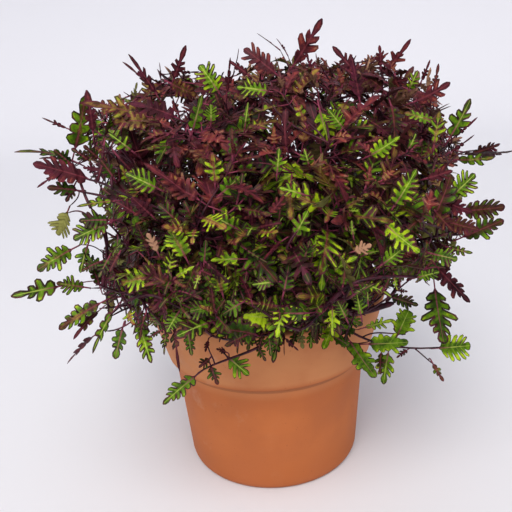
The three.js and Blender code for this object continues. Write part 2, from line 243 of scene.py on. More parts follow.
def share_of(tree, *parts):
    """The product of its parts. A part is a number, an output, or a field with its low and high, which
    goes from 0 to 1, or between two more numbers, as the field goes from low to high, with an eased
    change."""
    product = None
    for part in parts:
        if isinstance(part, tuple):
            part = put(tree, "MapRange", part, interpolation_type="SMOOTHSTEP")
        product = part if product is None else put(tree, "Math", [product, part], operation="MULTIPLY")
    return product


def tint(tree, colour, over, *parts):
    """A colour with another laid over it, as thickly as the product of the parts says."""
    return put(tree, "Mix", {0: share_of(tree, *parts), 6: colour, 7: over}, out=2, data_type="RGBA")


def ramp(tree, field, first, *steps):
    """A colour that turns to each step's colour as the field goes from that step's low to its high."""
    colour = paint(first)
    for hex_colour, low, high in steps:
        colour = tint(tree, colour, paint(hex_colour), (field, low, high))
    return colour


def grain(tree, size_mm, detail=4.0, roughness=0.55, stretch=(1, 1, 1)):
    """Noise on Object coordinates, in lumps about size_mm across. stretch divides the pattern's scale."""
    place = put(tree, "TexCoord", out="Object")
    mapped = put(tree, "Mapping", {"Vector": place, "Scale": tuple(1 / s for s in stretch)})
    inputs = {"Vector": mapped, "Scale": 1 / (size_mm * MM), "Detail": detail, "Roughness": roughness}
    return put(tree, "TexNoise", inputs, out="Fac")


def finish_with(tree, inputs, relief=None, strength=0.0, depth=0.0):
    """Joins a shader with these inputs to the output. A relief raises its surface by up to a depth in mm."""
    if relief is not None:
        bump = {"Height": relief, "Strength": strength, "Distance": depth * MM}
        inputs = {**inputs, "Normal": put(tree, "Bump", bump)}
    put(tree, "OutputMaterial", {"Surface": put(tree, "BsdfPrincipled", inputs)})


print("node helpers: put, new_material, share_of, tint, ramp, grain, finish_with")

# %% [markdown]
# ## The table and the light
#
# A plain pale surface carries the pot and rises behind it without an edge, as a photographer's paper
# sweep does. A flat floor with a wall would show a line. A wide round dish looks the same from every
# side, so it is turned from one curved profile. The light is soft: a pale sky, one wide, soft sun from the
# front left, which lights the whole floor evenly, and a weaker lamp beside it for the near side.

# %% Stage
SWEEP_RINGS = (300.0, 600.0, 1400.0)
SWEEP_FLAT = 2200.0
SWEEP_CURVE = 1100.0
SWEEP_WALL = 1500.0
SWEEP_SIDES = 96


def sweep_profile():
    """Radius and height: a flat disc, a quarter circle, then a straight wall."""
    bend = np.linspace(0, math.pi / 2, 24)
    edge, top = SWEEP_FLAT + SWEEP_CURVE, SWEEP_CURVE + SWEEP_WALL
    radius = np.concatenate([SWEEP_RINGS, SWEEP_FLAT + SWEEP_CURVE * np.sin(bend), [edge]])
    height = np.concatenate([0 * np.array(SWEEP_RINGS), SWEEP_CURVE * (1 - np.cos(bend)), [top]])
    return radius, height


def turned_rings(radius, height, sides):
    """A profile carried round the Z axis: x = r cos(a), y = r sin(a), z = h."""
    angle = np.arange(sides) * 2 * math.pi / sides
    x = radius[:, None] * np.cos(angle)
    y = radius[:, None] * np.sin(angle)
    z = np.broadcast_to(height[:, None], x.shape)
    return np.stack([x, y, z], -1).reshape(-1, 3)


PAPER_WHITE = "#E3E3E9"
paper, tree = new_material("matte_sweep_paper")
finish_with(tree, {"Base Color": paint(PAPER_WHITE), "Roughness": 0.9})
radius, height = sweep_profile()
fan = SWEEP_SIDES // 2 - 1
sweep_faces = ring_faces(len(radius), SWEEP_SIDES)[:-fan, ::-1]  # open at the top, and seen from inside
sweep = piece_of("sweep", turned_rings(radius, height, SWEEP_SIDES), sweep_faces, [paper])
print("sweep:", len(sweep.data.polygons), "faces")

# %% Lights
SKY_COLOUR = "#F4F4F8"
SKY_STRENGTH = 0.66
SUN_COLOUR, LAMP_COLOUR = "#FFFDF8", "#FFFBF4"
SUN_FROM = (-0.07, -1.0, 1.2)
SUN_SPREAD = math.radians(46)
SUN_STRENGTH = 1.42
LAMP_PLACE, LAMP_AIM, LAMP_WIDTH, LAMP_POWER = (-250, -1000, 1250), (0, 0, 150), 900.0, 11.5


def add_light(name, kind, place, back, colour, strength):
    """A light that shines against the direction back, at a place in mm."""
    light = bpy.data.lights.new(name, kind)
    light.energy = strength
    light.color = paint(colour)[:3]
    holder = bpy.data.objects.new(name, light)
    bpy.context.scene.collection.objects.link(holder)
    side = unit(np.cross(UP, back))
    holder.matrix_world = standing(side, np.cross(back, side), back, place)
    return light


sky = bpy.data.worlds.new("pale_sky")
sky.use_nodes = True
sky.node_tree.nodes["Background"].inputs["Color"].default_value = paint(SKY_COLOUR)
sky.node_tree.nodes["Background"].inputs["Strength"].default_value = SKY_STRENGTH
bpy.context.scene.world = sky
add_light("soft_sun", "SUN", (0, 0, 0), unit(np.array(SUN_FROM)), SUN_COLOUR, SUN_STRENGTH).angle = SUN_SPREAD
lamp_back = unit(np.array(LAMP_PLACE) - LAMP_AIM)
lamp = add_light("front_lamp", "AREA", LAMP_PLACE, lamp_back, LAMP_COLOUR, LAMP_POWER)
lamp.size = LAMP_WIDTH * MM
bpy.context.scene.view_settings.view_transform = "Standard"

# %% [markdown]
# ## The clay of the pot
#
# Terracotta is an iron-rich clay, thrown or pressed and fired without a glaze. It is matte, warm orange
# and a little cloudy: salts dry out of it as a pale bloom on the band, damp darkens the lower wall,
# and fine sand shows as specks. A flat orange would look like plastic, so three noises of real sizes
# change its colour, and a fine grit and faint finger rings raise its surface. Under the band's ledge
# the clay is painted paler, as painted light, above a thin painted shadow line.

# %% Terracotta
CLAY_ORANGE = "#BF6B36"
CLAY_DEEP = "#B4622E"
# The bloom colour is the salt bloom on the band, and also the painted light under it.
CLAY_BLOOM_AND_PAINTED_LIGHT = "#CB8754"
CLAY_SALT = "#C39A7E"
CLAY_SPECK = "#7A3A20"
# The colour of a thin painted shadow line under the band's ledge.
CLAY_PAINTED_SHADOW_LINE = "#6A3820"
BAND_BOTTOM = 102.5
SHADOW_LINE_DROPS = (5.6, 3.6)  # a thin painted shadow line, in mm below the band's foot
DRY_FROM = (5 * MM, 50 * MM)  # heights between which damp clay turns dry
SALTY_SIDE = (20 * MM, -90 * MM)  # the left side, where more salt has dried out
CLOUD_SIZE, SALT_SIZE, SPECK_SIZE, GRIT_SIZE, FINGER_RING_SIZE = 42.0, 24.0, 2.2, 1.1, 5.0
SALT_THICKNESS, SHADOW_LINE_THICKNESS = 0.5, 0.35


def make_terracotta():
    """Unglazed fired clay. A rough, matte body whose colour pales with dried salts and darkens with damp.
    Under the band it has painted light and a thin painted shadow line.
    """
    material, tree = new_material("unglazed_terracotta")
    place = put(tree, "SeparateXYZ", [put(tree, "TexCoord", out="Object")]).node.outputs
    height = place["Z"]
    clouds = grain(tree, CLOUD_SIZE, detail=3)
    colour = tint(tree, paint(CLAY_DEEP), paint(CLAY_ORANGE), (clouds, 0.35, 0.7), (height, *DRY_FROM))
    on_band = (height, (BAND_BOTTOM - 1) * MM, (BAND_BOTTOM + 6) * MM)
    colour = tint(tree, colour, paint(CLAY_BLOOM_AND_PAINTED_LIGHT), on_band, (clouds, 0.2, 0.65, 0.35, 0.85))
    salt = (grain(tree, SALT_SIZE, detail=5, roughness=0.65), 0.54, 0.74)
    colour = tint(tree, colour, paint(CLAY_SALT), salt, (place["X"], *SALTY_SIDE), SALT_THICKNESS)
    colour = tint(tree, colour, paint(CLAY_SPECK), (grain(tree, SPECK_SIZE, detail=1), 0.74, 0.8, 0.0, 0.4))
    low, high = ((BAND_BOTTOM - drop) * MM for drop in SHADOW_LINE_DROPS)
    painted_under_band = share_of(tree, (height, high, high + 0.2 * MM, 1.0, 0.0))
    # Painted light: under the band the clay turns paler, so the shade beneath the ledge barely shows.
    colour = tint(tree, colour, paint(CLAY_BLOOM_AND_PAINTED_LIGHT), painted_under_band, (height, low - 9 * MM, low, 0.0, 0.4))
    # A thin dark painted shadow line just under the ledge.
    painted_shadow_line = (height, low - 0.3 * MM, low)
    colour = tint(tree, colour, paint(CLAY_PAINTED_SHADOW_LINE), painted_under_band, painted_shadow_line, SHADOW_LINE_THICKNESS)
    grit = share_of(tree, grain(tree, GRIT_SIZE, detail=5, roughness=0.7), 0.5)
    rings = share_of(tree, grain(tree, FINGER_RING_SIZE, detail=2, stretch=(30, 30, 1)), 0.6)
    relief = put(tree, "Math", [grit, rings], operation="ADD")
    rough = share_of(tree, (clouds, 0.3, 0.7, 0.72, 0.86))
    finish_with(tree, {"Base Color": colour, "Roughness": rough}, relief, strength=0.35, depth=0.5)
    return material


terracotta = make_terracotta()
print("finish:", terracotta.name)

# %% [markdown]
# ## The pot
#
# The pot is turned: a rounded foot, a tapering wall, then a thicker band that flares out to a rounded
# lip, and the same inside down to the floor. It could be a lathe of Blender's Screw modifier. Here the
# profile is carried round the axis as one array, fine enough that no side shows as flat, and three
# drain holes are cut through its floor.

# %% Pot
POT_HEIGHT = 155.5
BASE_RADIUS = 76.5
FOOT_INSET, FOOT_HEIGHT = 5.2, 9.3
BODY_TOP_RADIUS = 84.0
BAND_FOOT_RADIUS = 89.5
RIM_RADIUS = 102.4
BODY_WALL, BAND_WALL = 7.0, 8.5
FLOOR_THICKNESS = 9.0
LIP_ROUND = 2.4
POT_SIDES = 224
DRAIN_COUNT, DRAIN_RADIUS, DRAIN_RING = 3, 7.0, 40.0
DRILL_REACH, DRILL_SIDES = 20.0, 32
FLOOR_RING = 20.0  # radius of the innermost ring, which a flat face closes
SHARP_FROM = math.radians(40)


def wall_inside(height):
    """The inner wall's radius: straight from the floor to the band, then straight to the rim."""
    places = [FLOOR_THICKNESS, BAND_BOTTOM, POT_HEIGHT]
    radii = [BASE_RADIUS - BODY_WALL, BODY_TOP_RADIUS - BODY_WALL, RIM_RADIUS - BAND_WALL]
    return np.interp(height, places, radii)


def arc(middle, size, start, stop, steps):
    """Points of an ellipse's arc, from start to stop in degrees."""
    angle = np.radians(np.linspace(start, stop, steps))
    return np.stack([middle[0] + size[0] * np.cos(angle), middle[1] + size[1] * np.sin(angle)], -1)


def straight(first, last, steps):
    """Points evenly spaced between two places, without the ends."""
    share = np.linspace(0, 1, steps + 2)[1:-1, None]
    return np.array(first) * (1 - share) + np.array(last) * share


def pot_profile():
    """Radius and height from the middle of the base, out and up the wall, over the lip and down inside."""
    r = LIP_ROUND
    foot = arc((BASE_RADIUS - FOOT_INSET, FOOT_HEIGHT), (FOOT_INSET, FOOT_HEIGHT), -90, 0, 7)
    ledge = [(BODY_TOP_RADIUS - 0.3, BAND_BOTTOM - 1.6), (BODY_TOP_RADIUS + 0.5, BAND_BOTTOM - 0.2)]
    band_foot = arc((BAND_FOOT_RADIUS - 1.3, BAND_BOTTOM + 1.3), (1.3, 1.3), -90, 0, 5)
    outer_lip = arc((RIM_RADIUS - r, POT_HEIGHT - r), (r, r), 0, 90, 5)
    inner_lip = arc((RIM_RADIUS - BAND_WALL + r, POT_HEIGHT - r), (r, r), 90, 180, 5)
    inside = [(wall_inside(BAND_BOTTOM), BAND_BOTTOM), (wall_inside(FLOOR_THICKNESS), FLOOR_THICKNESS + 3)]
    floor = [(wall_inside(FLOOR_THICKNESS) - 3, FLOOR_THICKNESS), (FLOOR_RING, FLOOR_THICKNESS)]
    parts = [[(FLOOR_RING, 0)], foot, straight(foot[-1], ledge[0], 8), ledge]
    parts += [[(BAND_FOOT_RADIUS - 3, BAND_BOTTOM)], band_foot, straight(band_foot[-1], outer_lip[0], 5)]
    parts += [outer_lip, inner_lip, straight(inner_lip[-1], inside[0], 3), inside, floor]
    return np.concatenate([np.array(part, float) for part in parts])


def cut_drains(pot):
    """Takes three upright cylinders out of the floor, and keeps the result as the pot's own mesh."""
    for i in range(DRAIN_COUNT):
        angle = 2 * math.pi * i / DRAIN_COUNT + math.pi / 2
        middle = np.array([math.cos(angle), math.sin(angle), 0]) * DRAIN_RING
        ends = np.array([-DRILL_REACH, DRILL_REACH])
        drill_points = turned_rings(np.full(2, DRAIN_RADIUS), ends, DRILL_SIDES) + middle
        drill = piece_of("drill", drill_points, ring_faces(2, DRILL_SIDES), [])
        cut = pot.modifiers.new("drain", "BOOLEAN")
        cut.object, cut.operation, cut.solver = drill, "DIFFERENCE", "EXACT"
        shape = bpy.data.meshes.new_from_object(pot.evaluated_get(bpy.context.evaluated_depsgraph_get()))
        pot.modifiers.clear()
        pot.data = shape
        bpy.data.objects.remove(drill)
    pot.data.shade_smooth()
    pot.data.set_sharp_from_angle(angle=SHARP_FROM)


def claim(piece, slot, *nodes):
    """The piece rides on the one body and stands for these CAD nodes, which it hides.
    slot is not used.
    """
    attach(piece, BODY)
    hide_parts(*nodes)


profile = pot_profile()
pot_points = turned_rings(profile[:, 0], profile[:, 1], POT_SIDES)
pot = piece_of("clay_pot", pot_points, ring_faces(len(profile), POT_SIDES), [terracotta])
cut_drains(pot)
claim(pot, "terracotta", "pot")
print("pot:", len(pot.data.polygons), "faces, rim", 2 * RIM_RADIUS, "mm across")

# %% [markdown]
# ## The potting mix
#
# Peat and fine bark fill the pot to a finger's breadth under the rim, a little higher in the middle.
# It is dark, damp and crumbly. A particle system could strew crumbs, but it is lost on export. Here
# the surface is a turned disc that three sizes of waves roughen, and real crumbs lie half sunk in it.

# %% Potting mix
MIX_EDGE_HEIGHT = 136.0
MIX_CROWN = 6.0
MIX_GAP = 0.3
MIX_SIDES = 120
CRUMBS, CRUMB_SIDES = 420, 6
CRUMB_SIZES, CRUMB_SHAPE = (0.9, 2.6), (1.3, 1.0, 0.7)
PEAT_DARK, PEAT_BROWN, BARK_TAN = "#1C130D", "#3A281B", "#6B4A30"


def mix_height(radius):
    """The crowned top: the edge height plus the crown times one minus the square of radius over wall."""
    return MIX_EDGE_HEIGHT + MIX_CROWN * (1 - (radius / wall_inside(MIX_EDGE_HEIGHT)) ** 2)


def crumble(x, y):
    """A lumpy height in mm: waves about 19, 9 and 5 mm long that cross at odd angles."""
    return (
        0.9 * np.sin(x / 3.1 + 0.7 * y / 3.1) * np.sin(0.8 * y / 2.7 - 0.4 * x / 2.7)
        + 0.6 * np.sin(x / 1.4 + 2.0) * np.sin(y / 1.6 + 0.3 * x)
        + 0.35 * np.sin(1.9 * x + y) * np.sin(2.3 * y - 0.6 * x)
    )


def mix_surface():
    """The mix as rings: under its floor, up its side, and over the crumbly top to the middle."""
    edge = wall_inside(MIX_EDGE_HEIGHT) - MIX_GAP
    bottom = FLOOR_THICKNESS + MIX_GAP
    side_radius = np.array([40, wall_inside(bottom) - 3.3, wall_inside(bottom + 3) - MIX_GAP,
                            wall_inside(BAND_BOTTOM) - MIX_GAP, edge - 0.2])
    side_height = np.array([bottom, bottom, bottom + 3, BAND_BOTTOM, MIX_EDGE_HEIGHT - 2.5])
    top_radius = np.linspace(edge - 0.6, 2, 34)
    rings = np.concatenate([side_radius, top_radius])
    points = turned_rings(rings, np.concatenate([side_height, mix_height(top_radius) - 1.2]), MIX_SIDES)
    top = points.reshape(len(rings), MIX_SIDES, 3)[len(side_radius) :]
    fade = np.clip((edge - top_radius) / 6, 0, 1)[:, None] * np.clip(top_radius / 6 - 0.3, 0, 1)[:, None]
    top[..., 2] += fade * crumble(top[..., 0], top[..., 1])
    return points, ring_faces(len(rings), MIX_SIDES)


def crumb_shapes():
    """Small lumps: a six-sided ball of four rings, squashed and turned at random, half sunk in the top."""
    ring = np.arange(CRUMB_SIDES) * 2 * math.pi / CRUMB_SIDES
    lift = np.array([-0.98, -0.5, 0.5, 0.98])
    wide = np.sqrt(1 - lift**2)[:, None]
    ball = np.stack([wide * np.cos(ring), wide * np.sin(ring), lift[:, None] + 0 * ring], -1)
    ball = ball.reshape(1, -1, 3)
    points_each = ball.shape[1]
    reach = (wall_inside(MIX_EDGE_HEIGHT) - 7) * np.sqrt(chance.random(CRUMBS))
    turn_by = chance.random(CRUMBS) * 2 * math.pi
    size = chance.uniform(*CRUMB_SIZES, (CRUMBS, 3)) * CRUMB_SHAPE
    lumps = ball * size[:, None, :] * chance.uniform(0.75, 1.2, (CRUMBS, points_each, 1))
    spin = chance.random(CRUMBS)[:, None] * 2 * math.pi
    x = lumps[..., 0] * np.cos(spin) - lumps[..., 1] * np.sin(spin)
    y = lumps[..., 0] * np.sin(spin) + lumps[..., 1] * np.cos(spin)
    middle = np.stack([reach * np.cos(turn_by), reach * np.sin(turn_by), mix_height(reach) - 0.7], -1)
    points = np.stack([x, y, lumps[..., 2]], -1) + middle[:, None, :]
    return points.reshape(-1, 3), copies_of(ring_faces(len(lift), CRUMB_SIDES), points_each, CRUMBS)


def make_peat():
    """Damp peat and bark: nearly black, in crumbs of a few millimetres, rough and without shine."""
    material, tree = new_material("damp_peat_and_bark")
    crumbs = (grain(tree, 3.0, detail=5, roughness=0.7), 0.35, 0.65)
    colour = tint(tree, paint(PEAT_DARK), paint(PEAT_BROWN), crumbs)
    colour = tint(tree, colour, paint(BARK_TAN), (grain(tree, 5.5, detail=2), 0.62, 0.7, 0.0, 0.7))
    fibre = grain(tree, 1.0, detail=6, roughness=0.75)
    finish_with(tree, {"Base Color": colour, "Roughness": 0.95}, fibre, strength=0.8, depth=0.8)
    return material


peat = make_peat()
mix_points, mix_faces = mix_surface()
crumb_points, crumb_faces = crumb_shapes()
mix_all = np.concatenate([mix_points, crumb_points])
mix = piece_of("peat_mix", mix_all, np.concatenate([mix_faces, crumb_faces + len(mix_points)]), [peat])
claim(mix, "potting_mix", "potting_mix")
print("mix:", len(mix.data.polygons), "faces,", CRUMBS, "crumbs")

# %% [markdown]
# ## Where the stems and shoots run
#
# Twelve stems rise from the mix: four near the middle, eight around them that lean outwards. Each side
# shoot starts on the stem that passes nearest to its tip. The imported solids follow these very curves,
# so they are worked out again here, with the same small draw, the same trials and the same room kept
# between paths. Placing them by eye would let the leaves drift off the solids that stand for them.

# %% The draw and the crown
DRAW_FACTOR = 16807
DRAW_LIMIT = 2147483647
draw_state = 4711


def draw(low, high):
    """The next repeatable number from low to high: the state times a factor, less whole limits."""
    global draw_state
    draw_state = draw_state * DRAW_FACTOR % DRAW_LIMIT
    return low + (high - low) * draw_state / DRAW_LIMIT


CROWN_MIDDLE = np.array([0.0, 0.0, 200.0])
CROWN_REACH_X, CROWN_REACH_Y = 194.0, 160.0
CROWN_RISE, CROWN_DROP = 158.0, 82.0
CROWN_SQUARENESS = 2.7


def crown_point(azimuth, lift, reach):
    """A point in the crown, a rounded box: the direction is scaled until the sum of its parts to the
    power 2.7 is one."""
    azimuth, lift, reach = np.broadcast_arrays(azimuth, lift, reach)
    level = np.sqrt(np.maximum(0, 1 - lift**2))
    x, y = level * np.cos(azimuth), level * np.sin(azimuth)
    n = CROWN_SQUARENESS
    size = (np.abs(x) ** n + np.abs(y) ** n + np.abs(lift) ** n) ** (-1 / n)
    height = np.where(lift > 0, CROWN_RISE, CROWN_DROP)
    ray = np.stack([CROWN_REACH_X * x, CROWN_REACH_Y * y, height * lift], -1)
    return ray * (size * reach)[..., None] + CROWN_MIDDLE


def crown_share(points):
    """How far out points lie, as a share of the way from the crown's middle to its surface."""
    away = points - CROWN_MIDDLE
    height = np.where(away[..., 2] > 0, CROWN_RISE, CROWN_DROP)
    parts = np.abs(away / np.stack([0 * height + CROWN_REACH_X, 0 * height + CROWN_REACH_Y, height], -1))
    return (parts**CROWN_SQUARENESS).sum(-1) ** (1 / CROWN_SQUARENESS)


def level_outward(point):
    """The level direction from the pot's axis to a point."""
    return unit(point * [1, 1, 0])


def curve(controls, share):
    """A cubic curve: its four control points weighted by (1-t)^3, 3t(1-t)^2, 3t^2(1-t) and t^3."""
    t = np.asarray(share, float)[..., None]
    first, second, third, last = (controls[..., i, :] for i in range(4))
    if first.ndim > 1:
        first, second, third, last = (c[:, None, :] for c in (first, second, third, last))
    return (1 - t) ** 3 * first + 3 * t * (1 - t) ** 2 * second + 3 * t**2 * (1 - t) * third + t**3 * last


def heading(controls, share):
    """The unit direction of a curve, from two places a ten-thousandth to each side."""
    share = np.asarray(share, float)
    before, after = np.maximum(share - 1e-4, 0), np.minimum(share + 1e-4, 1)
    return unit(curve(controls, after) - curve(controls, before))


print("crown:", 2 * CROWN_REACH_X, "x", 2 * CROWN_REACH_Y, "x", CROWN_RISE + CROWN_DROP, "mm")

# %% Main stems
INNER_STEMS, INNER_FOOT, INNER_ELEVATION = 4, 17.0, math.radians(62)
OUTER_STEMS, OUTER_FOOT = 8, 47.0
OUTER_ELEVATIONS = (math.radians(22), math.radians(40))
ROOTED_DEPTH = 22.0
STEM_SWAY = 0.12
STEM_REACH = (0.84, 0.96)


def stem_curve(azimuth, foot_radius, elevation):
    """From its foot in the mix, upwards at first, to a tip just inside the crown's surface."""
    foot = np.array([math.cos(azimuth), math.sin(azimuth), 0]) * foot_radius
    foot[2] = mix_height(foot_radius) - ROOTED_DEPTH
    leaning = azimuth + draw(-STEM_SWAY, STEM_SWAY)
    tip = crown_point(leaning, math.sin(elevation), draw(*STEM_REACH))
    length = np.linalg.norm(tip - foot)
    low = foot + UP * length * 0.34 + level_outward(tip) * length * 0.06
    high = tip - UP * length * 0.22 - level_outward(tip) * length * 0.16
    return np.array([foot, low, high, tip])


stem_curves = [
    stem_curve(2 * math.pi * (i + 0.5) / INNER_STEMS, INNER_FOOT, INNER_ELEVATION)
    for i in range(INNER_STEMS)
] + [
    stem_curve(2 * math.pi * (i + 0.25) / OUTER_STEMS, OUTER_FOOT, OUTER_ELEVATIONS[i % 2])
    for i in range(OUTER_STEMS)
]
print("main stems:", len(stem_curves))

# %% Side shoots
FREE_SHOOTS = 44
STEM_FOOT_RADIUS, STEM_TIP_RADIUS = 3.4, 1.5
SEAT_GAP = 0.3
SAMPLES = 28
PATH_TRIES = 160
PATH_CLEARANCE = 5.5
SET_SHOOTS = [  # the point each one bends over, and its tip
    ((-10, -118, 164), (-58, -127, 134)),
    ((78, -96, 150), (124, -86, 124)),
    ((62, -108, 160), (90, -112, 126)),
    ((-98, -88, 192), (-132, -96, 158)),
    ((-72, -104, 184), (-98, -118, 152)),
    ((-138, -36, 192), (-176, -44, 182)),
    ((122, -44, 186), (152, -58, 162)),
]


def branch_shares():
    """The places tried on a stem, from 0.34 up in steps of 0.05."""
    shares, along = [], 0.34
    while along < 0.84:
        shares.append(along)
        along += 0.05
    return np.array(shares)


def shoot_curve(tip, shoulder):
    """Starts square to the nearest stem, a little below the nearest place, and bends to its tip."""
    shares = branch_shares()
    best = (math.inf, 0, 0.0)
    for number, stem in enumerate(stem_curves):
        points = curve(stem, shares)
        missing_rise = np.maximum(0, 20 - (tip[2] - points[:, 2]))
        distance = np.linalg.norm(points - tip, axis=1) + 0.5 * missing_rise
        nearest = int(distance.argmin())
        if distance[nearest] < best[0]:
            best = (distance[nearest], number, shares[nearest])
    stem = stem_curves[best[1]]
    along = max(0.3, best[2] - 0.16)
    start, forward = curve(stem, along), heading(stem, along)
    away = tip - start
    length = np.linalg.norm(away)
    square = unit(away - forward * (forward @ away))
    radius = STEM_FOOT_RADIUS + (STEM_TIP_RADIUS - STEM_FOOT_RADIUS) * along
    foot = start + square * (radius + SEAT_GAP)
    low = foot + square * length * 0.3
    rise = -0.2 if tip[2] > CROWN_MIDDLE[2] else 0.2
    high = tip - level_outward(tip) * length * 0.22 + UP * length * rise
    return np.array([foot, low, high if shoulder is None else np.array(shoulder, float), tip]), best[1]


def clear_of_pot(points):
    """Every point lies outside the rim, above it, or well inside the wall."""
    radius = np.hypot(points[:, 0], points[:, 1])
    outside = radius > RIM_RADIUS + 5
    inside = radius < wall_inside(MIX_EDGE_HEIGHT) - 14
    return bool(np.all(outside | inside | (points[:, 2] > POT_HEIGHT + 4)))


def clear_of_paths(points, taken, carrier):
    """No point lies within the clearance of a path that is taken, but for the first part by its own stem."""
    for number, other in enumerate(taken):
        tested = points[math.ceil(SAMPLES * 0.3) :] if number == carrier else points
        gap = np.linalg.norm(tested[:, None, :] - other[None, :, :], axis=2)
        if gap.min() <= PATH_CLEARANCE:
            return False
    return True


def free_tip(index):
    """Tips on a spiral down the crown, a golden angle apart."""
    share = (index + 0.5) / FREE_SHOOTS
    lift = 0.97 - (0.97 + 0.78) * share + draw(-0.05, 0.05)
    azimuth = index * math.pi * (3 - math.sqrt(5)) + draw(-0.2, 0.2)
    return crown_point(azimuth, lift, draw(0.9, 1.02))


def find_shoots():
    """Keeps, for each shoot, the first curve tried that is clear of the pot and of all earlier ones."""
    even = np.arange(SAMPLES + 1) / SAMPLES
    taken = [curve(stem, even) for stem in stem_curves]
    kept = []
    for number in range(len(SET_SHOOTS) + FREE_SHOOTS):
        shoulder, set_tip = SET_SHOOTS[number] if number < len(SET_SHOOTS) else (None, None)
        for attempt in range(PATH_TRIES):
            if set_tip is None:
                tip = free_tip(number - len(SET_SHOOTS))
            else:
                tip = np.array(set_tip, float) + [draw(-0.4, 0.4) * attempt for _ in range(3)]
            shoot, carrier = shoot_curve(tip, shoulder)
            points = curve(shoot, even)
            if clear_of_pot(points) and clear_of_paths(points, taken, carrier):
                kept.append(shoot)
                taken.append(points)
                break
    return kept


shoot_curves = find_shoots()
branches = {f"main_stem_{i + 1:02d}": c for i, c in enumerate(stem_curves)}
branches.update({f"side_shoot_{i + 1:02d}": c for i, c in enumerate(shoot_curves)})
missing = sorted(set(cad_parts) - set(branches) - {"pot", "potting_mix"})
print("side shoots:", len(shoot_curves), "nodes without a curve:", missing)


def stray(name, controls):
    """How far, in mm, a curve leaves its node's box."""
    low, high = (np.array(corner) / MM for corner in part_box(name))
    points = curve(controls, np.linspace(0, 1, 9))
    return float(np.maximum(np.maximum(low - points, points - high), 0).max())


print("furthest that a curve leaves its node:", round(max(stray(n, c) for n, c in branches.items()), 2), "mm")

# %% [markdown]
# ## The outline
#
# A crown whose leaves are spread evenly looks like clipped box. A real one has shoots that stand out,
# bays between them and a few sprigs over the rim. The bays come from an outline, drawn as the camera
# sees it: a twig or leaf that would pass it is left out. Bays cut into a solid would slice the leaves,
# and this way each leaf stays whole.

# %% Outline
OUTLINE = np.array([
    (104, 310), (96, 288), (98, 262), (104, 236), (106, 214), (93, 194), (90, 172), (84, 150),
    (79, 130), (84, 110), (102, 102), (122, 92), (140, 76), (160, 68), (176, 60), (192, 72),
    (204, 68), (226, 68), (240, 66), (256, 52), (276, 50), (290, 56), (304, 48), (320, 52),
    (332, 66), (346, 60), (378, 52), (396, 56), (416, 68), (430, 76), (444, 90), (438, 106),
    (450, 116), (461, 120), (463, 142), (467, 158), (461, 176), (463, 194), (470, 208), (467, 226),
    (457, 240), (454, 260), (445, 276), (428, 288), (404, 286), (392, 284), (378, 300), (362, 318),
    (352, 340), (330, 347), (300, 343), (280, 348), (244, 346), (226, 340), (206, 342), (192, 338),
    (178, 330), (166, 336), (140, 332), (124, 324),
], float)  # fmt: skip
HOLLOWS = np.array([  # places where light shows through, each with its radius
    (127, 125, 6), (115, 147, 6), (110, 173, 6), (96, 181, 5), (99, 200, 4), (115, 229, 7), (103, 246, 6),
    (167, 104, 7), (181, 101, 7), (206, 92, 7), (234, 73, 6), (372, 94, 6), (235, 102, 5), (322, 91, 6),
    (346, 96, 7), (356, 102, 6), (412, 121, 5), (466, 153, 7), (384, 122, 3), (431, 173, 4), (418, 236, 6),
    (434, 234, 5), (430, 220, 4), (385, 267, 3), (263, 238, 3), (202, 237, 3),
], float)  # fmt: skip


SIGHT_REACH = (250, 760)  # in mm from the eye, before and past the crown


def inside_outline(points):
    """True where points in mm show inside: a level line to the right of each crosses the outline an odd
    number of times."""
    place = picture_place(points)
    x, y = place[..., 0, None], place[..., 1, None]
    here, following = OUTLINE, np.roll(OUTLINE, -1, axis=0)
    spans = (here[:, 1] > y) != (following[:, 1] > y)
    fall = following[:, 1] - here[:, 1]
    lean = (following[:, 0] - here[:, 0]) / np.where(fall == 0, 1, fall)
    return (spans & (x < here[:, 0] + (y - here[:, 1]) * lean)).sum(-1) % 2 == 1


def in_hollow(points):
    """True where points in mm show inside a hollow."""
    apart = np.linalg.norm(picture_place(points)[..., None, :] - HOLLOWS[:, :2], axis=-1)
    return (apart < HOLLOWS[:, 2]).any(-1)


def on_crown(pixel, share=0.93):
    """The first point in mm, on the line of sight through a place, that has this crown share, or else the
    nearest."""
    points = eye_place + np.linspace(*SIGHT_REACH, 256)[:, None] * sight(pixel)
    shares = crown_share(points)
    met = np.flatnonzero(shares <= share)
    return points[met[0] if len(met) else shares.argmin()]


def placed(pixel, depth):
    """A place in the picture on the upright plane y = depth, or on the crown where no depth is given."""
    return on_crown(pixel) if depth is None else seen_at(pixel, depth)


print("outline:", len(OUTLINE), "corners,", len(HOLLOWS), "hollows")

# %% [markdown]
# ## Twigs that can be told apart
#
# Here and there a bare twig or a leaf stalk shows: the sprig that leans over the rim in front, the one
# on the right with its side twigs, a thick old stub on the rim, and purple stalks in the bays. Each is
# a cubic curve through four places. Drawing them with Blender's curve tool would work as well, but then
# they couldn't be joined to the nearest shoot by a rule.

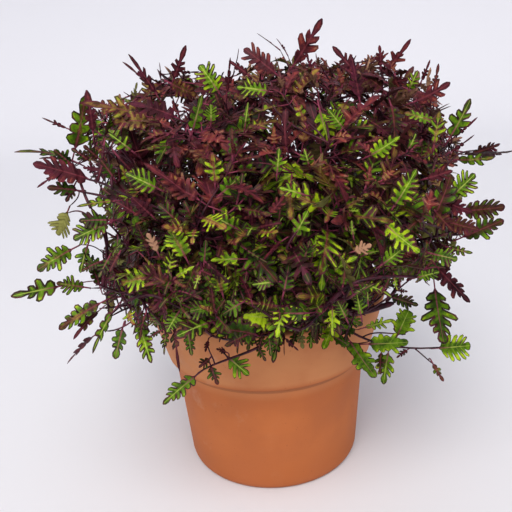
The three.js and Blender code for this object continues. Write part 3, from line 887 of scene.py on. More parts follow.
# %% Set twigs
FRONT_DEPTH, RIGHT_DEPTH, STUB_DEPTH = -122.0, -84.0, -78.0
TURN_BACK, SINK, SEAT_REACH = 1.5, 0.22, 5.0
SET_TWIGS = [  # four places from its foot to its tip, depth, foot and tip radius in mm
    ([(262, 345), (240, 355), (213, 365), (194, 377)], FRONT_DEPTH, 1.1, 0.55),
    ([(214, 364), (212, 357), (209, 350), (208, 343)], FRONT_DEPTH, 0.6, 0.45),
    ([(228, 358), (225, 354), (222, 351), (220, 349)], FRONT_DEPTH, 0.6, 0.45),
    ([(168, 302), (146, 295), (126, 302), (110, 316)], None, 1.0, 0.7),
    ([(143, 311), (131, 322), (118, 329), (106, 331)], None, 0.7, 0.5),
    ([(332, 300), (350, 285), (380, 277), (438, 278)], None, 1.7, 0.8),
    ([(398, 282), (396, 289), (391, 296), (386, 302)], -62, 1.7, 1.5),
    ([(352, 313), (366, 311), (380, 307), (394, 303)], STUB_DEPTH, 2.7, 2.2),
    ([(350, 331), (378, 343), (410, 348), (441, 347)], RIGHT_DEPTH, 1.0, 0.6),
    ([(414, 349), (421, 354), (427, 359), (433, 364)], RIGHT_DEPTH, 0.6, 0.45),
    ([(362, 337), (374, 333), (386, 333), (398, 334)], RIGHT_DEPTH, 0.6, 0.5),
    ([(300, 330), (282, 323), (262, 311), (244, 302)], None, 1.2, 0.8),
    ([(287, 249), (290, 241), (297, 231), (303, 221)], None, 0.9, 0.7),
    ([(272, 105), (267, 101), (262, 98), (256, 94)], None, 0.8, 0.6),
    ([(113, 189), (104, 184), (95, 181), (86, 179)], None, 0.9, 0.6),
    ([(109, 198), (98, 195), (88, 193), (77, 191)], None, 0.9, 0.6),
    ([(91, 208), (87, 200), (83, 190), (80, 181)], None, 1.0, 0.8),
    ([(113, 188), (111, 176), (109, 163), (106, 150)], None, 0.9, 0.7),
    ([(90, 217), (82, 212), (75, 211), (68, 213)], None, 0.55, 0.45),
    ([(455, 156), (470, 151), (486, 151), (500, 154)], None, 0.7, 0.5),
]


def through_four(places):
    """Control points of the cubic that passes its four places at a third and two thirds of its run."""
    first, second, third, last = places
    low = (-5 * first + 18 * second - 9 * third + 2 * last) / 6
    high = (2 * first - 9 * second + 18 * third - 5 * last) / 6
    return np.array([first, low, high, last])


def branch_off(carriers, feet, toward, stoop=0.0, sink=0.0):
    """A twig from the nearest place on any carrier to each foot, arriving in its direction, and the
    carrier's number. A carrier that passes in front of the foot counts as further off, as a twig would
    have to turn back from it. stoop does the same for carriers that pass above the foot, so that twigs
    rise rather than hang. sink draws the run inwards by that share of its length, under the leaves, where
    it is well above the rim."""
    shares = np.linspace(0.25, 0.94, 24)
    places = curve(carriers, shares)
    away = feet[:, None, None] - places
    gap = np.linalg.norm(away, axis=-1)
    gap += TURN_BACK * np.maximum(0, 0.3 * gap - (away * toward[:, None, None]).sum(-1))
    gap += stoop * np.maximum(0, 16 - away[..., 2])
    number, step = np.divmod(gap.reshape(len(feet), -1).argmin(1), len(shares))
    start = places[number, step]
    forward = heading(carriers[number], shares[step][:, None])[:, 0]
    length = np.linalg.norm(feet - start, axis=1, keepdims=True)
    chord = unit(feet - start)
    low = start + unit(0.5 * forward + chord) * length * 0.33
    high = feet - unit(toward + 0.6 * chord) * length * 0.33
    runs = [start, low, high, feet]
    for i in (1, 2):
        above_rim = np.clip((runs[i][:, 2:] - POT_HEIGHT - 15) / 25, 0, 1)
        runs[i] = runs[i] + unit(CROWN_MIDDLE - runs[i]) * length * sink * above_rim
    return np.stack(runs, 1), number


def seat_on_earlier(twigs):
    """Moves the foot of each set twig that starts beside an earlier one onto it. Gives the twig that each
    hangs from."""
    host = np.arange(len(twigs))
    for number in range(1, len(twigs)):
        points = curve(twigs[:number], np.linspace(0, 1, 60))
        gap = np.linalg.norm(points - twigs[number, 0], axis=-1)
        other, step = np.unravel_index(gap.argmin(), gap.shape)
        if gap[other, step] < SEAT_REACH:
            twigs[number, 0] = points[other, step]
            host[number] = host[other]
    return host


def up_to(controls, share):
    """The part of a cubic before a share of its run: each control point moves on by that share, three
    times over."""
    ends = [controls[:, 0]]
    while controls.shape[1] > 1:
        controls = controls[:, :-1] + (controls[:, 1:] - controls[:, :-1]) * share[:, None, None]
        ends.append(controls[:, 0])
    return np.stack(ends, 1)


def shown_share(controls):
    """How far along each curve runs before it passes the outline, on the near side of the crown."""
    shares = np.linspace(0.24, 1, 39)
    points = curve(controls, shares)
    passed = ~inside_outline(points) & (points[..., 1] < 60)
    return np.where(passed.any(1), shares[passed.argmax(1)], 1.0)


node_names = list(branches)
node_curves = np.array([branches[name] for name in node_names])
node_curves = up_to(node_curves, shown_share(node_curves))
set_paths = [np.array([placed(place, depth) for place in path]) for path, depth, *_ in SET_TWIGS]
set_twigs = np.array([through_four(path) for path in set_paths])
set_radii = np.array([radii for _, _, *radii in SET_TWIGS])
host = seat_on_earlier(set_twigs)
hosts = np.unique(host)
set_headings = unit(set_twigs[:, 1] - set_twigs[:, 0])
links, host_nodes = branch_off(node_curves, set_twigs[hosts, 0], set_headings[hosts], sink=SINK)
set_nodes = host_nodes[np.searchsorted(hosts, host)]
link_lengths = np.linalg.norm(links[:, 3] - links[:, 0], axis=1)
print("set twigs:", len(set_twigs), "longest link", link_lengths.max().round(1), "mm")

# %% [markdown]
# ## Twigs that fill the crown
#
# Each stem and shoot forks again near the crown's surface, where there is light. Growing every twig by
# a rule of botany, such as an L-system, gives little say over the outline. Here the twigs' tips are
# spread evenly just under the crown's surface, with a few deeper ones, and each twig starts on the stem
# or shoot that passes nearest below it, so the dome closes all round and every leaf is carried.

# %% Twigs
OUTER_TWIGS, INNER_TWIGS = 620, 100
TWIG_TOP, TWIG_BOTTOM = 0.98, -0.62
OUTER_REACH, INNER_REACH = (0.78, 0.97), (0.3, 0.72)
GOLDEN_ANGLE = math.pi * (3 - math.sqrt(5))
POT_ROOM, MIX_ROOM = 4.0, 8.0
INNER_WALL = 82.0  # nearer the axis than this, only the mix is in the way


def touches_pot(points):
    """True for points in the pot's wall or close to it, or in the mix or close above it."""
    radius = np.hypot(points[..., 0], points[..., 1])
    near_wall = (radius > INNER_WALL) & (radius < RIM_RADIUS + POT_ROOM)
    near_wall &= points[..., 2] < POT_HEIGHT + POT_ROOM
    return near_wall | ((radius <= INNER_WALL) & (points[..., 2] < MIX_EDGE_HEIGHT + MIX_ROOM))


def grow_twigs(count, reach):
    """Curves from the nearest branch to tips on a spiral down the crown, and the number of the node each
    is on."""
    index = np.arange(count)
    lift = TWIG_TOP - (TWIG_TOP - TWIG_BOTTOM) * (index + 0.5) / count + chance.uniform(-0.03, 0.03, count)
    azimuth = index * GOLDEN_ANGLE + chance.uniform(-0.15, 0.15, count)
    tip = crown_point(azimuth, lift, chance.uniform(*reach, count))
    rise = np.interp(lift, [-0.8, -0.2, 0.3, 1], [-0.3, 0.2, 0.5, 0.8])
    ending = unit(unit(tip - CROWN_MIDDLE) + UP * rise[:, None] + chance.normal(0, 0.22, (count, 3)))
    grown, node = branch_off(node_curves, tip, ending, stoop=0.5)
    path = curve(grown, np.linspace(0, 1, 9))
    kept = ~touches_pot(path).any(1) & inside_outline(tip)
    return grown[kept], node[kept]


outer_twigs, outer_nodes = grow_twigs(OUTER_TWIGS, OUTER_REACH)
inner_twigs, inner_nodes = grow_twigs(INNER_TWIGS, INNER_REACH)
axes = np.concatenate([node_curves, outer_twigs, inner_twigs, set_twigs])
axis_nodes = np.concatenate([np.arange(len(node_curves)), outer_nodes, inner_nodes, set_nodes])
leafy_axes = len(axes) - len(set_twigs)
print("twigs:", len(outer_twigs), "outer,", len(inner_twigs), "inner")

# %% [markdown]
# ## Leaves that stand out
#
# The eye finds single leaves in such a crown: those that stand clear of its outline, pale ones in front
# of dark hollows, red ones, and those of the sprigs over the rim. They are set one by one, by the two
# places where the blade starts and ends. Chance alone would give the right kind of crown, but not this
# one. Each of them then grows a thin stalk from the nearest twig, so nothing floats.

# %% Set leaves
ROUND_THREE, ROUND_FIVE, NARROW, TOOTHED, FRILLED, SMALL = range(6)
R3, R5, N3, T5 = ROUND_THREE, ROUND_FIVE, NARROW, TOOTHED
# Each group has its depth. Each leaf has the start and the tip of its blade, half its width as a share of the
# blade's length, its form, wine and tone, and the degrees that it is turned from face on.
SET_LEAVES = {
    "left": (None, [
        ((76, 146), (89, 96), .32, R3, .15, .5, 15), ((66, 128), (42, 118), .16, N3, .9, .4, 20),
        ((70, 158), (21, 130), .2, N3, .1, .45, 70), ((68, 160), (41, 151), .2, N3, .7, .4, 60),
        ((93, 130), (89, 90), .26, N3, .95, .45, 10), ((105, 136), (117, 107), .2, R3, .1, .75, 60),
        ((140, 114), (82, 95), .24, N3, .6, .55, 40), ((148, 121), (112, 116), .34, R5, .61, .6, 20),
        ((131, 150), (110, 132), .34, R3, 0, .6, 15), ((168, 145), (133, 151), .16, R3, .2, .8, 65),
        ((86, 178), (34, 161), .3, R5, .85, .3, 40), ((60, 172), (36, 186), .2, N3, .6, .3, 60),
        ((76, 190), (48, 186), .4, R3, .1, .1, 10), ((74, 186), (66, 201), .42, R3, .1, .12, 0),
        ((66, 170), (50, 178), .4, R3, .05, .3, 0), ((67, 213), (57, 237), .42, R5, .05, .7, 170),
        ((112, 201), (77, 203), .2, R3, .1, .85, 50), ((108, 220), (80, 218), .34, R5, 0, .4, 20),
        ((106, 224), (73, 237), .34, R5, 0, .55, 10), ((129, 182), (120, 165), .34, R3, .1, .95, 10),
        ((157, 188), (126, 172), .36, R5, .05, .6, 15), ((150, 214), (131, 197), .42, R3, .95, .2, 10),
        ((178, 222), (160, 203), .42, R3, .1, .4, 10), ((133, 212), (118, 200), .4, R3, .9, .35, 20),
        ((190, 196), (148, 158), .2, N3, 1, .55, 40),
        ((104, 146), (100, 170), .28, R3, 1, .1, 60), ((70, 163), (55, 150), .42, R3, .1, .2, 20),
        ((88, 160), (74, 148), .4, R3, .15, .15, 20), ((98, 158), (85, 145), .42, R3, .2, .1, 30),
        ((103, 163), (95, 180), .4, R3, .9, .1, 20), ((113, 177), (102, 160), .4, R3, .1, .2, 20),
        ((96, 170), (86, 166), .42, R3, .85, .1, 20)]),
    "low left": (None, [
        ((70, 250), (36, 267), .36, R5, .1, .6, 0), ((87, 247), (78, 271), .3, R3, 0, .55, 20),
        ((56, 287), (11, 295), .27, R3, 0, .6, 5), ((83, 287), (57, 283), .36, R5, .1, .5, 15),
        ((99, 284), (88, 251), .3, R5, .1, .1, 40), ((98, 304), (56, 325), .27, R5, .25, .55, 20),
        ((97, 312), (69, 334), .24, R3, .3, .35, 40), ((112, 313), (85, 349), .2, R3, .05, .6, 40),
        ((92, 337), (63, 359), .26, R3, .85, .5, 60), ((122, 330), (114, 358), .42, R3, .05, .45, 10),
        ((139, 324), (151, 363), .24, R5, .05, .8, 25), ((145, 315), (138, 337), .3, R3, .1, .3, 30),
        ((166, 333), (163, 355), .26, R3, 0, .5, 30), ((160, 331), (149, 336), .3, R3, .1, .4, 20),
        ((174, 323), (175, 372), .11, N3, .2, .5, 35), ((188, 328), (189, 355), .28, R5, .05, .45, 15),
        ((178, 313), (166, 331), .36, R5, .05, .6, 15), ((99, 262), (82, 268), .34, R5, .1, .4, 15),
        ((108, 259), (98, 277), .34, R3, .05, .45, 20), ((118, 255), (108, 270), .34, R3, .3, .3, 20)]),
    "front": (FRONT_DEPTH, [
        ((194, 377), (161, 402), .24, R5, 0, .6, 10), ((229, 358), (248, 375), .44, R3, 0, .6, 5),
        ((211, 367), (216, 384), .36, R3, .15, .4, 10), ((209, 359), (200, 366), .4, R3, .2, .1, 10),
        ((208, 341), (205, 351), .34, R3, .2, .2, 20), ((226, 352), (218, 348), .35, R3, .9, 0, 30),
        ((281, 331), (272, 362), .28, R3, .05, .45, 30), ((284, 334), (283, 355), .14, N3, .6, 0, 50),
        ((258, 347), (265, 361), .3, R3, .05, .35, 20), ((286, 339), (298, 351), .2, R3, .9, 0, 40),
        ((300, 331), (302, 351), .3, R3, .1, .5, 170)]),
    "rim": (-108.0, [
        ((312, 331), (309, 347), .34, R3, 0, .55, 15), ((318, 330), (315, 342), .4, R3, .1, .2, 20),
        ((334, 322), (324, 350), .46, R3, 0, .95, 10), ((296, 332), (292, 346), .36, R3, .05, .35, 20)]),
    "sprig's foot": (-128.0, [
        ((252, 333), (246, 349), .34, R3, 0, .3, 20), ((269, 336), (270, 355), .34, R3, 0, .45, 15),
        ((263, 335), (258, 350), .34, R3, .1, .2, 30), ((279, 330), (281, 342), .4, R3, .05, .35, 20)]),
    "right rim": (-97.0, [
        ((337, 326), (353, 333), .42, T5, 0, .35, 15), ((334, 336), (349, 345), .36, T5, 0, .3, 10),
        ((344, 316), (361, 326), .4, R3, 0, .4, 15), ((349, 322), (345, 340), .36, R3, .1, .15, 20)]),
    "middle": (None, [
        ((213, 307), (190, 309), .5, R5, 0, .5, 10), ((241, 303), (221, 314), .42, R3, 0, .45, 10),
        ((310, 313), (287, 316), .38, R5, 0, .9, 10), ((234, 227), (212, 215), .5, R3, 0, .6, 5),
        ((222, 193), (240, 178), .46, R3, 0, .5, 10), ((215, 182), (214, 153), .38, R3, .15, .85, 10),
        ((302, 194), (279, 187), .4, R3, .05, .9, 15), ((270, 213), (286, 199), .34, R3, 1, .7, 30),
        ((282, 163), (332, 196), .12, R3, .1, .95, 50), ((295, 235), (309, 212), .38, R3, .05, .55, 10),
        ((267, 236), (287, 220), .16, R3, 0, .75, 40), ((239, 259), (211, 259), .36, R3, 0, .98, 15),
        ((185, 256), (171, 228), .42, R5, .1, .75, 10), ((157, 251), (148, 231), .32, R3, .8, .9, 170),
        ((222, 292), (217, 271), .5, R5, .2, .75, 5), ((251, 299), (244, 275), .26, R3, 1, .5, 40),
        ((275, 282), (253, 283), .34, R5, 0, .6, 15), ((284, 291), (290, 264), .42, R3, 0, .35, 10),
        ((151, 276), (121, 281), .42, R5, .15, .8, 10), ((144, 257), (162, 275), .14, N3, .1, .9, 50),
        ((175, 282), (175, 298), .16, N3, .1, .8, 20), ((204, 262), (206, 240), .34, R3, 0, .4, 20),
        ((304, 259), (309, 241), .42, R3, .05, .3, 10), ((247, 250), (267, 264), .2, R3, 0, .45, 40),
        ((281, 241), (258, 254), .2, N3, .9, .6, 60), ((277, 173), (279, 149), .38, R3, .05, .7, 5),
        ((309, 165), (305, 149), .46, R3, .05, .6, 5), ((305, 122), (295, 96), .22, R3, .2, .9, 30),
        ((320, 112), (328, 150), .36, R3, 0, .9, 10), ((344, 129), (329, 109), .38, R5, .05, .55, 10)]),
    "top": (None, [
        ((155, 92), (131, 53), .2, N3, 1, .35, 30), ((150, 85), (125, 60), .16, N3, 1, .3, 40),
        ((161, 78), (161, 63), .12, N3, 1, .1, 60), ((174, 78), (186, 46), .26, N3, 1, .45, 10),
        ((172, 84), (196, 96), .4, R5, .6, .5, 20), ((180, 72), (198, 75), .16, N3, 1, .1, 30),
        ((218, 91), (202, 64), .42, R5, .05, .75, 10), ((227, 91), (230, 58), .2, R3, .9, .4, 50),
        ((236, 64), (241, 50), .1, N3, .9, .2, 60), ((247, 74), (231, 60), .28, R3, 1, .35, 20),
        ((274, 72), (245, 47), .34, R5, 1, .4, 10), ((275, 46), (258, 32), .07, N3, .9, .2, 70),
        ((286, 52), (279, 38), .14, N3, 1, .1, 50), ((295, 63), (325, 19), .24, R3, 1, .5, 15),
        ((268, 91), (237, 85), .34, R5, 0, .8, 20), ((211, 122), (212, 105), .5, R5, .05, .75, 5),
        ((193, 129), (202, 93), .26, R3, .05, .5, 15), ((354, 71), (334, 46), .24, N3, 1, .4, 20),
        ((350, 72), (335, 61), .16, N3, 1, .3, 40), ((359, 96), (353, 55), .24, N3, 1, .2, 20),
        ((381, 66), (381, 46), .3, R3, 1, .5, 15), ((389, 67), (413, 42), .26, N3, 1, .6, 20),
        ((390, 82), (407, 80), .42, R3, 1, .6, 35), ((409, 89), (418, 72), .38, R3, .05, .8, 10),
        ((422, 80), (431, 61), .22, N3, 1, .45, 20), ((434, 87), (440, 65), .24, N3, .7, .6, 20),
        ((417, 101), (454, 88), .3, R3, .8, .6, 20)]),
    "right": (None, [
        ((433, 121), (405, 112), .28, R5, .1, .75, 20), ((451, 136), (475, 100), .3, R3, .05, .5, 15),
        ((456, 136), (478, 119), .12, N3, 1, .2, 30), ((434, 144), (440, 112), .3, R3, .1, .8, 10),
        ((452, 151), (475, 137), .12, N3, 1, .3, 40), ((465, 153), (511, 164), .2, R5, .6, .1, 65),
        ((459, 160), (494, 162), .26, R3, .1, .6, 25), ((452, 196), (476, 176), .38, R5, 0, .6, 5),
        ((371, 155), (401, 140), .28, R5, .05, .85, 20), ((373, 152), (358, 142), .3, R3, 1, .75, 30),
        ((340, 177), (374, 182), .1, R3, 0, .85, 60), ((395, 205), (420, 170), .32, R5, .05, .75, 15),
        ((387, 226), (418, 255), .3, R5, .05, .95, 15), ((383, 264), (406, 249), .34, R5, 0, .6, 15),
        ((353, 235), (350, 220), .34, R3, 0, .8, 10), ((355, 251), (372, 245), .4, R3, .8, .9, 170),
        ((339, 256), (353, 270), .2, N3, .1, .95, 40), ((346, 318), (338, 300), .38, R5, 0, .5, 10),
        ((361, 315), (357, 293), .34, R5, 0, .7, 10), ((368, 302), (368, 290), .42, R3, 0, .6, 10),
        ((394, 277), (396, 291), .2, R3, 0, .95, 30), ((464, 211), (505, 208), .32, R5, .3, .3, 10),
        ((465, 236), (503, 219), .3, R5, .2, .3, 10), ((446, 202), (471, 213), .34, R3, .9, .35, 15),
        ((449, 222), (478, 232), .3, R5, .66, .35, 15), ((473, 153), (500, 148), .26, R5, .62, .15, 25),
        ((428, 178), (452, 171), .34, R3, .95, .4, 20), ((436, 212), (452, 232), .34, R3, .62, .4, 20),
        ((451, 248), (471, 254), .3, R3, 0, .5, 20),
        ((433, 254), (456, 260), .46, R5, 0, .5, 5), ((440, 270), (470, 302), .26, R5, .95, .1, 35),
        ((418, 277), (440, 271), .34, R5, 0, .6, 20), ((410, 229), (422, 238), .3, R3, .1, .2, 20)]),
    "low right": (RIGHT_DEPTH, [
        ((435, 291), (441, 345), .31, R5, 0, .42, 5), ((392, 297), (417, 307), .28, R5, 0, .3, 20),
        ((366, 327), (393, 319), .3, FRILLED, 0, .95, 40), ((398, 334), (409, 311), .46, T5, 0, .6, 5),
        ((370, 344), (408, 343), .32, T5, 0, .55, 10), ((440, 348), (470, 346), .5, R5, 0, .6, 5),
        ((433, 364), (442, 381), .28, R3, .2, .5, 15), ((351, 343), (373, 379), .24, T5, 0, .45, 15),
        ((388, 354), (382, 384), .38, R3, 0, .65, 10), ((381, 353), (377, 373), .3, R3, .1, .2, 30),
        ((407, 350), (397, 356), .3, R3, .2, 0, 20), ((398, 290), (407, 292), .3, R3, .1, .3, 30)]),
}  # fmt: skip
BLADE_START = 0.24
TIP_NEARER = 5.0


def place_set_leaves():
    """Foot, direction, upper side, length, half width, form, wine and tone of each set leaf. Both ends
    lie about as far from the eye, the upper side faces it, and the turn swings it round the leaf's own
    length."""
    rows = [
        (placed(start, depth), tip, *rest)
        for depth, leaves in SET_LEAVES.values()
        for start, tip, *rest in leaves
    ]
    start = np.array([row[0] for row in rows])
    far = np.linalg.norm(start - eye_place, axis=1, keepdims=True)
    tip = eye_place + np.array([sight(row[1]) for row in rows]) * (far - TIP_NEARER)
    blade = tip - start
    toward = unit(blade)
    size = np.linalg.norm(blade, axis=1) / (1 - BLADE_START)
    foot = tip - toward * size[:, None]
    facing = square_to(toward, eye_place - start)
    width, form, wine, tone, turned = np.array([row[2:] for row in rows], float).T
    turned = np.radians(turned)[:, None]
    upper = np.cos(turned) * facing + np.sin(turned) * np.cross(toward, facing)
    return foot, toward, upper, size, width * (1 - BLADE_START), form.astype(int), wine, tone


def square_to(directions, wanted):
    """The part of the wanted directions that is square to the given ones, as unit vectors."""
    return unit(wanted - (wanted * directions).sum(-1, keepdims=True) * directions)


set_foot, set_toward, set_upper, set_size, set_width, set_form, set_wine, set_tone = place_set_leaves()
stalks, carrier = branch_off(axes, set_foot, set_toward, sink=SINK)
set_leaf_nodes = axis_nodes[carrier]
stalk_lengths = np.linalg.norm(stalks[:, 3] - stalks[:, 0], axis=1)
print("set leaves:", len(set_size), "stalks up to", stalk_lengths.max().round(1), "mm, half of them under",
      np.median(stalk_lengths).round(1))

# %% [markdown]
# ## How the other leaves are set
#
# Coleus bears its leaves in pairs, and each pair stands square to the one before. Near a tip they are
# small, close together and half folded up. Further down they are larger and lie flatter. That rule
# places every pair by its distance from the tip, so a tip seen from outside is a little rosette.

# %% Leaf places
PAIR_FROM_TIP = np.array([1.5, 5.5, 12.0, 20.5, 31.0, 43.0, 56.0, 70.0, 85.0])
PAIR_LENGTH = np.array([0.4, 0.62, 0.84, 1.0, 1.04, 1.0, 0.95, 0.9, 0.85])
PAIR_LEAN = np.radians([20, 36, 50, 60, 68, 74, 78, 80, 80])
LEAF_LENGTHS = (28.0, 42.0)
HALF_WIDTHS = (0.21, 0.3)
BARE_BRANCH, BARE_TWIG = 0.4, 0.1  # the share at the foot that bears no leaves
SCREEN_ROOM = 6.0


def place_pairs(axes, axis_nodes, bare_share):
    """Foot, direction, upper side, length and node of both leaves of every pair, as flat arrays."""
    count, pairs = len(axes), len(PAIR_FROM_TIP)
    path = curve(axes, np.linspace(0, 1, 17))
    long = np.linalg.norm(np.diff(path, axis=1), axis=-1).sum(1)[:, None]
    share = 1 - PAIR_FROM_TIP * chance.uniform(0.85, 1.2, (count, 1)) / long
    there = np.maximum(share, 0)
    base, along = curve(axes, there), heading(axes, there)
    side = square_to(along, chance.normal(0, 1, (count, 1, 3)) + 0 * along)
    over = np.cross(along, side)
    turn = np.arange(pairs) * math.pi / 2 + chance.normal(0, 0.2, (count, pairs))
    turn = np.stack([turn, turn + math.pi], -1)[..., None]
    lean = (PAIR_LEAN[:, None] + chance.normal(0, 0.13, (count, pairs, 2)))[..., None]
    spoke = np.cos(turn) * side[:, :, None] + np.sin(turn) * over[:, :, None]
    toward = np.cos(lean) * along[:, :, None] + np.sin(lean) * spoke
    droop = UP * np.linspace(0, 0.3, pairs)[:, None, None]
    toward = unit(toward - droop + chance.normal(0, 0.08, toward.shape))
    outward = unit(base - CROWN_MIDDLE)
    upper = square_to(toward, (0.4 * along + 0.4 * UP + 0.6 * outward)[:, :, None] + 0 * toward)
    size = chance.uniform(*LEAF_LENGTHS, (count, 1)) * PAIR_LENGTH * chance.uniform(0.88, 1.1, (count, pairs))
    size = np.stack([size, size * chance.uniform(0.92, 1.08, size.shape)], -1)
    kept = np.broadcast_to((share > bare_share)[..., None], size.shape)
    base = base[:, :, None] + 0 * toward
    node = np.broadcast_to(axis_nodes[:, None, None], size.shape)
    return [held[kept] for held in (base, toward, upper, size, node)]


def fits(base, toward, size):
    """True where a leaf keeps inside the outline, out of the hollows and the pot, and doesn't stand in
    front of a set leaf or twig."""
    tip = base + toward * size[:, None]
    middle = base + toward * (size * 0.6)[:, None]
    blade = base[:, None] + toward[:, None] * size[:, None, None] * np.array([0.35, 0.6, 0.85])[:, None]
    allowed = ~in_hollow(blade).any(1)
    allowed &= inside_outline(tip) & inside_outline(middle) & (crown_share(tip) < 1.07)
    allowed &= ~touches_pot(tip) & ~touches_pot(middle)
    on_twigs = curve(set_twigs, np.linspace(0, 1, 12)).reshape(-1, 3)
    hidden = np.concatenate([set_foot + set_toward * (set_size * 0.6)[:, None], on_twigs])
    room = SCREEN_ROOM + np.concatenate([0.15 * set_size, np.zeros(len(on_twigs))])
    far, hidden_far = (np.linalg.norm(points - eye_place, axis=1) for points in (middle, hidden))
    nearer = far[:, None] < hidden_far + 6
    apart = np.linalg.norm(picture_place(middle)[:, None] - picture_place(hidden), axis=-1)
    return allowed & ~(nearer & (apart < room)).any(1)


branch_count = len(node_curves)
on_branches = place_pairs(node_curves, axis_nodes[:branch_count], BARE_BRANCH)
on_twigs = place_pairs(axes[branch_count:leafy_axes], axis_nodes[branch_count:leafy_axes], BARE_TWIG)
in_pairs = [np.concatenate(both) for both in zip(on_branches, on_twigs)]
fitting = fits(in_pairs[0], in_pairs[1], in_pairs[3])
foot, toward, upper, size, node = (held[fitting] for held in in_pairs)
print("leaves in pairs:", len(size), "and left out:", int((~fitting).sum()))

# %% [markdown]
# ## Leaf colours by place
#
# Sun turns this plant's leaves from lime to wine red, so the top and the outermost tips are the
# darkest, and the leaves over the rim stay green. Leaves deep in the crown, where little light comes,
# are painted nearly black as painted shade. Each leaf gets a share of wine, a tone from shade to lime,
# and its own width of dark margin.

# %% Leaf colours
# The tone of leaves deep in the crown, painted nearly black as painted shade.
PAINTED_SHADE_TONE = -0.5
MARGIN_WIDTHS, BROAD_MARGINS, BROAD_SHARE = (0.8, 1.5), (1.5, 2.2), 0.4
SUNNY_FROM, SUNNY_TO = 195.0, 330.0
SUNNY_SIDE_FROM, SUNNY_SIDE_TO = 60.0, 150.0  # the right side, which had more sun
LIT_FROM, LIT_OVER = 0.42, 0.34  # the crown share where light starts, and how much further out it is full
WINE_LEAST, WINE_BY_HEIGHT, WINE_BY_SHADE, WINE_BY_SIDE = 0.02, 0.78, 0.14, 0.35
WINE_LEAF = (0.56, 1)  # the wine of a leaf that has turned
SMALL_UNDER = 22.0
USUAL_LENGTH = 38.0


def colours_by_place():
    """Wine and tone of each leaf that chance places. Odds of wine rise with height, and tone falls with
    depth in the crown as painted shade."""
    tip = foot + toward * size[:, None]
    height = np.clip((tip[:, 2] - SUNNY_FROM) / (SUNNY_TO - SUNNY_FROM), 0, 1)
    light = np.clip((crown_share(tip) - LIT_FROM) / LIT_OVER, 0, 1)
    sunny_side = np.clip((tip[:, 0] - SUNNY_SIDE_FROM) / (SUNNY_SIDE_TO - SUNNY_SIDE_FROM), 0, 1)
    odds = WINE_LEAST + WINE_BY_HEIGHT * height**1.3 + WINE_BY_SHADE * (1 - light)
    odds = odds + WINE_BY_SIDE * sunny_side * np.minimum(1, 2 * height)
    part = (0.18 + 0.27 * height) * chance.random(len(size)) ** 1.3
    wine = np.where(chance.random(len(size)) < odds, chance.uniform(*WINE_LEAF, len(size)), part)
    # Deeper in the crown the tone falls towards the shade tone: painted shade.
    tone = light * (chance.random(len(size)) + 0.12 * (1 - height)) + PAINTED_SHADE_TONE * (1 - light)
    return wine, tone


def forms_by_chance():
    """Small leaves have three fingers a side. Wine ones are mostly narrow, and some low green ones are
    toothed."""
    pick = chance.random(len(size))
    form = np.where((wine > 0.5) & (pick > 0.35), NARROW, np.where(pick > 0.45, ROUND_THREE, FRILLED))
    form = np.where((wine < 0.5) & (foot[:, 2] < 185) & (pick > 0.82), TOOTHED, form)
    return np.where(size < SMALL_UNDER, SMALL, form)


wine, tone = colours_by_place()
form = forms_by_chance()
half = size * chance.uniform(*HALF_WIDTHS, len(size)) * np.where(form == NARROW, 0.85, 1)
by_chance = (foot, toward, upper, size, half, node, form, wine, tone)
one_by_one = (set_foot, set_toward, set_upper, set_size, set_size * set_width, set_leaf_nodes, set_form)
one_by_one += (set_wine, set_tone)
all_leaves = [np.concatenate(both) for both in zip(by_chance, one_by_one)]
leaf_foot, leaf_toward, leaf_upper, leaf_size, leaf_half = all_leaves[:5]
leaf_node, leaf_form, leaf_wine, leaf_tone = all_leaves[5:]
is_set = np.arange(len(leaf_size)) >= len(size)
leaf_margin = chance.uniform(*MARGIN_WIDTHS, len(leaf_size))
broad = (chance.random(len(leaf_size)) < BROAD_SHARE) & ~is_set
leaf_margin = np.where(broad, chance.uniform(*BROAD_MARGINS, len(leaf_size)), leaf_margin)
by_tone = np.where(is_set, 1.4 - 0.6 * leaf_tone, 1)
by_size = np.clip(leaf_size / USUAL_LENGTH, 0.35, 1.1)
over_rim = np.where(is_set & (leaf_foot[:, 2] < POT_HEIGHT + 15), 0.6, 1)
leaf_margin *= by_tone * by_size * over_rim
print("leaves in all:", len(leaf_size), "wine:", int((leaf_wine > 0.5).sum()))

# %% [markdown]
# ## One leaf
#
# A leaf has a thin stalk, a blade cut into rounded fingers, and a long end finger. It could be a picture
# of a leaf on a flat card, but then its edge would have no shape of its own. Here it is a closed thin
# form: rows along the midrib, each with a left edge, an upper rib, a right edge and a lower rib. A
# finger is a row at the notch before it and one to three rows on its end. The rows' edges are pushed
# forwards in step with their width, which slants the fingers. All leaves of a form are worked out
# together, as one array.

# %% Leaf forms
STALK_END = 0.2
STALK_RADIUS = 0.5
RIB_RISE, RIB_DEPTH = 0.28, 0.5
TIP_THICKNESS = 0.12
EDGE_FREE = 9.0  # stands for "no end here" in the distances to a finger's end
LeafForm = namedtuple("LeafForm", "fingers outer end slant end_width notch")
LEAF_FORMS = [  # fingers a side, their outer rows as shares of pitch and reach, their end, then three ranges
    LeafForm(3, ((0.05, 0.9), (0.4, 1.0), (0.74, 0.84)), 0.68, (0.45, 0.85), (0.28, 0.36), (0.2, 0.34)),
    LeafForm(5, ((0.05, 0.9), (0.42, 1.0), (0.78, 0.86)), 0.78, (0.4, 0.7), (0.28, 0.36), (0.28, 0.38)),
    LeafForm(3, ((0.06, 0.98), (0.54, 0.84)), 0.6, (0.6, 1.1), (0.28, 0.38), (0.2, 0.34)),
    LeafForm(5, ((0.08, 0.95), (0.45, 1.0), (0.78, 0.86)), 0.78, (0.3, 0.6), (0.4, 0.5), (0.56, 0.7)),
    LeafForm(4, ((0.06, 1.0), (0.54, 0.82)), 0.68, (0.45, 0.9), (0.26, 0.34), (0.16, 0.3)),
    LeafForm(3, ((0.04, 1.0), (0.6, 0.8)), 0.66, (0.4, 0.8), (0.3, 0.4), (0.3, 0.5)),
]
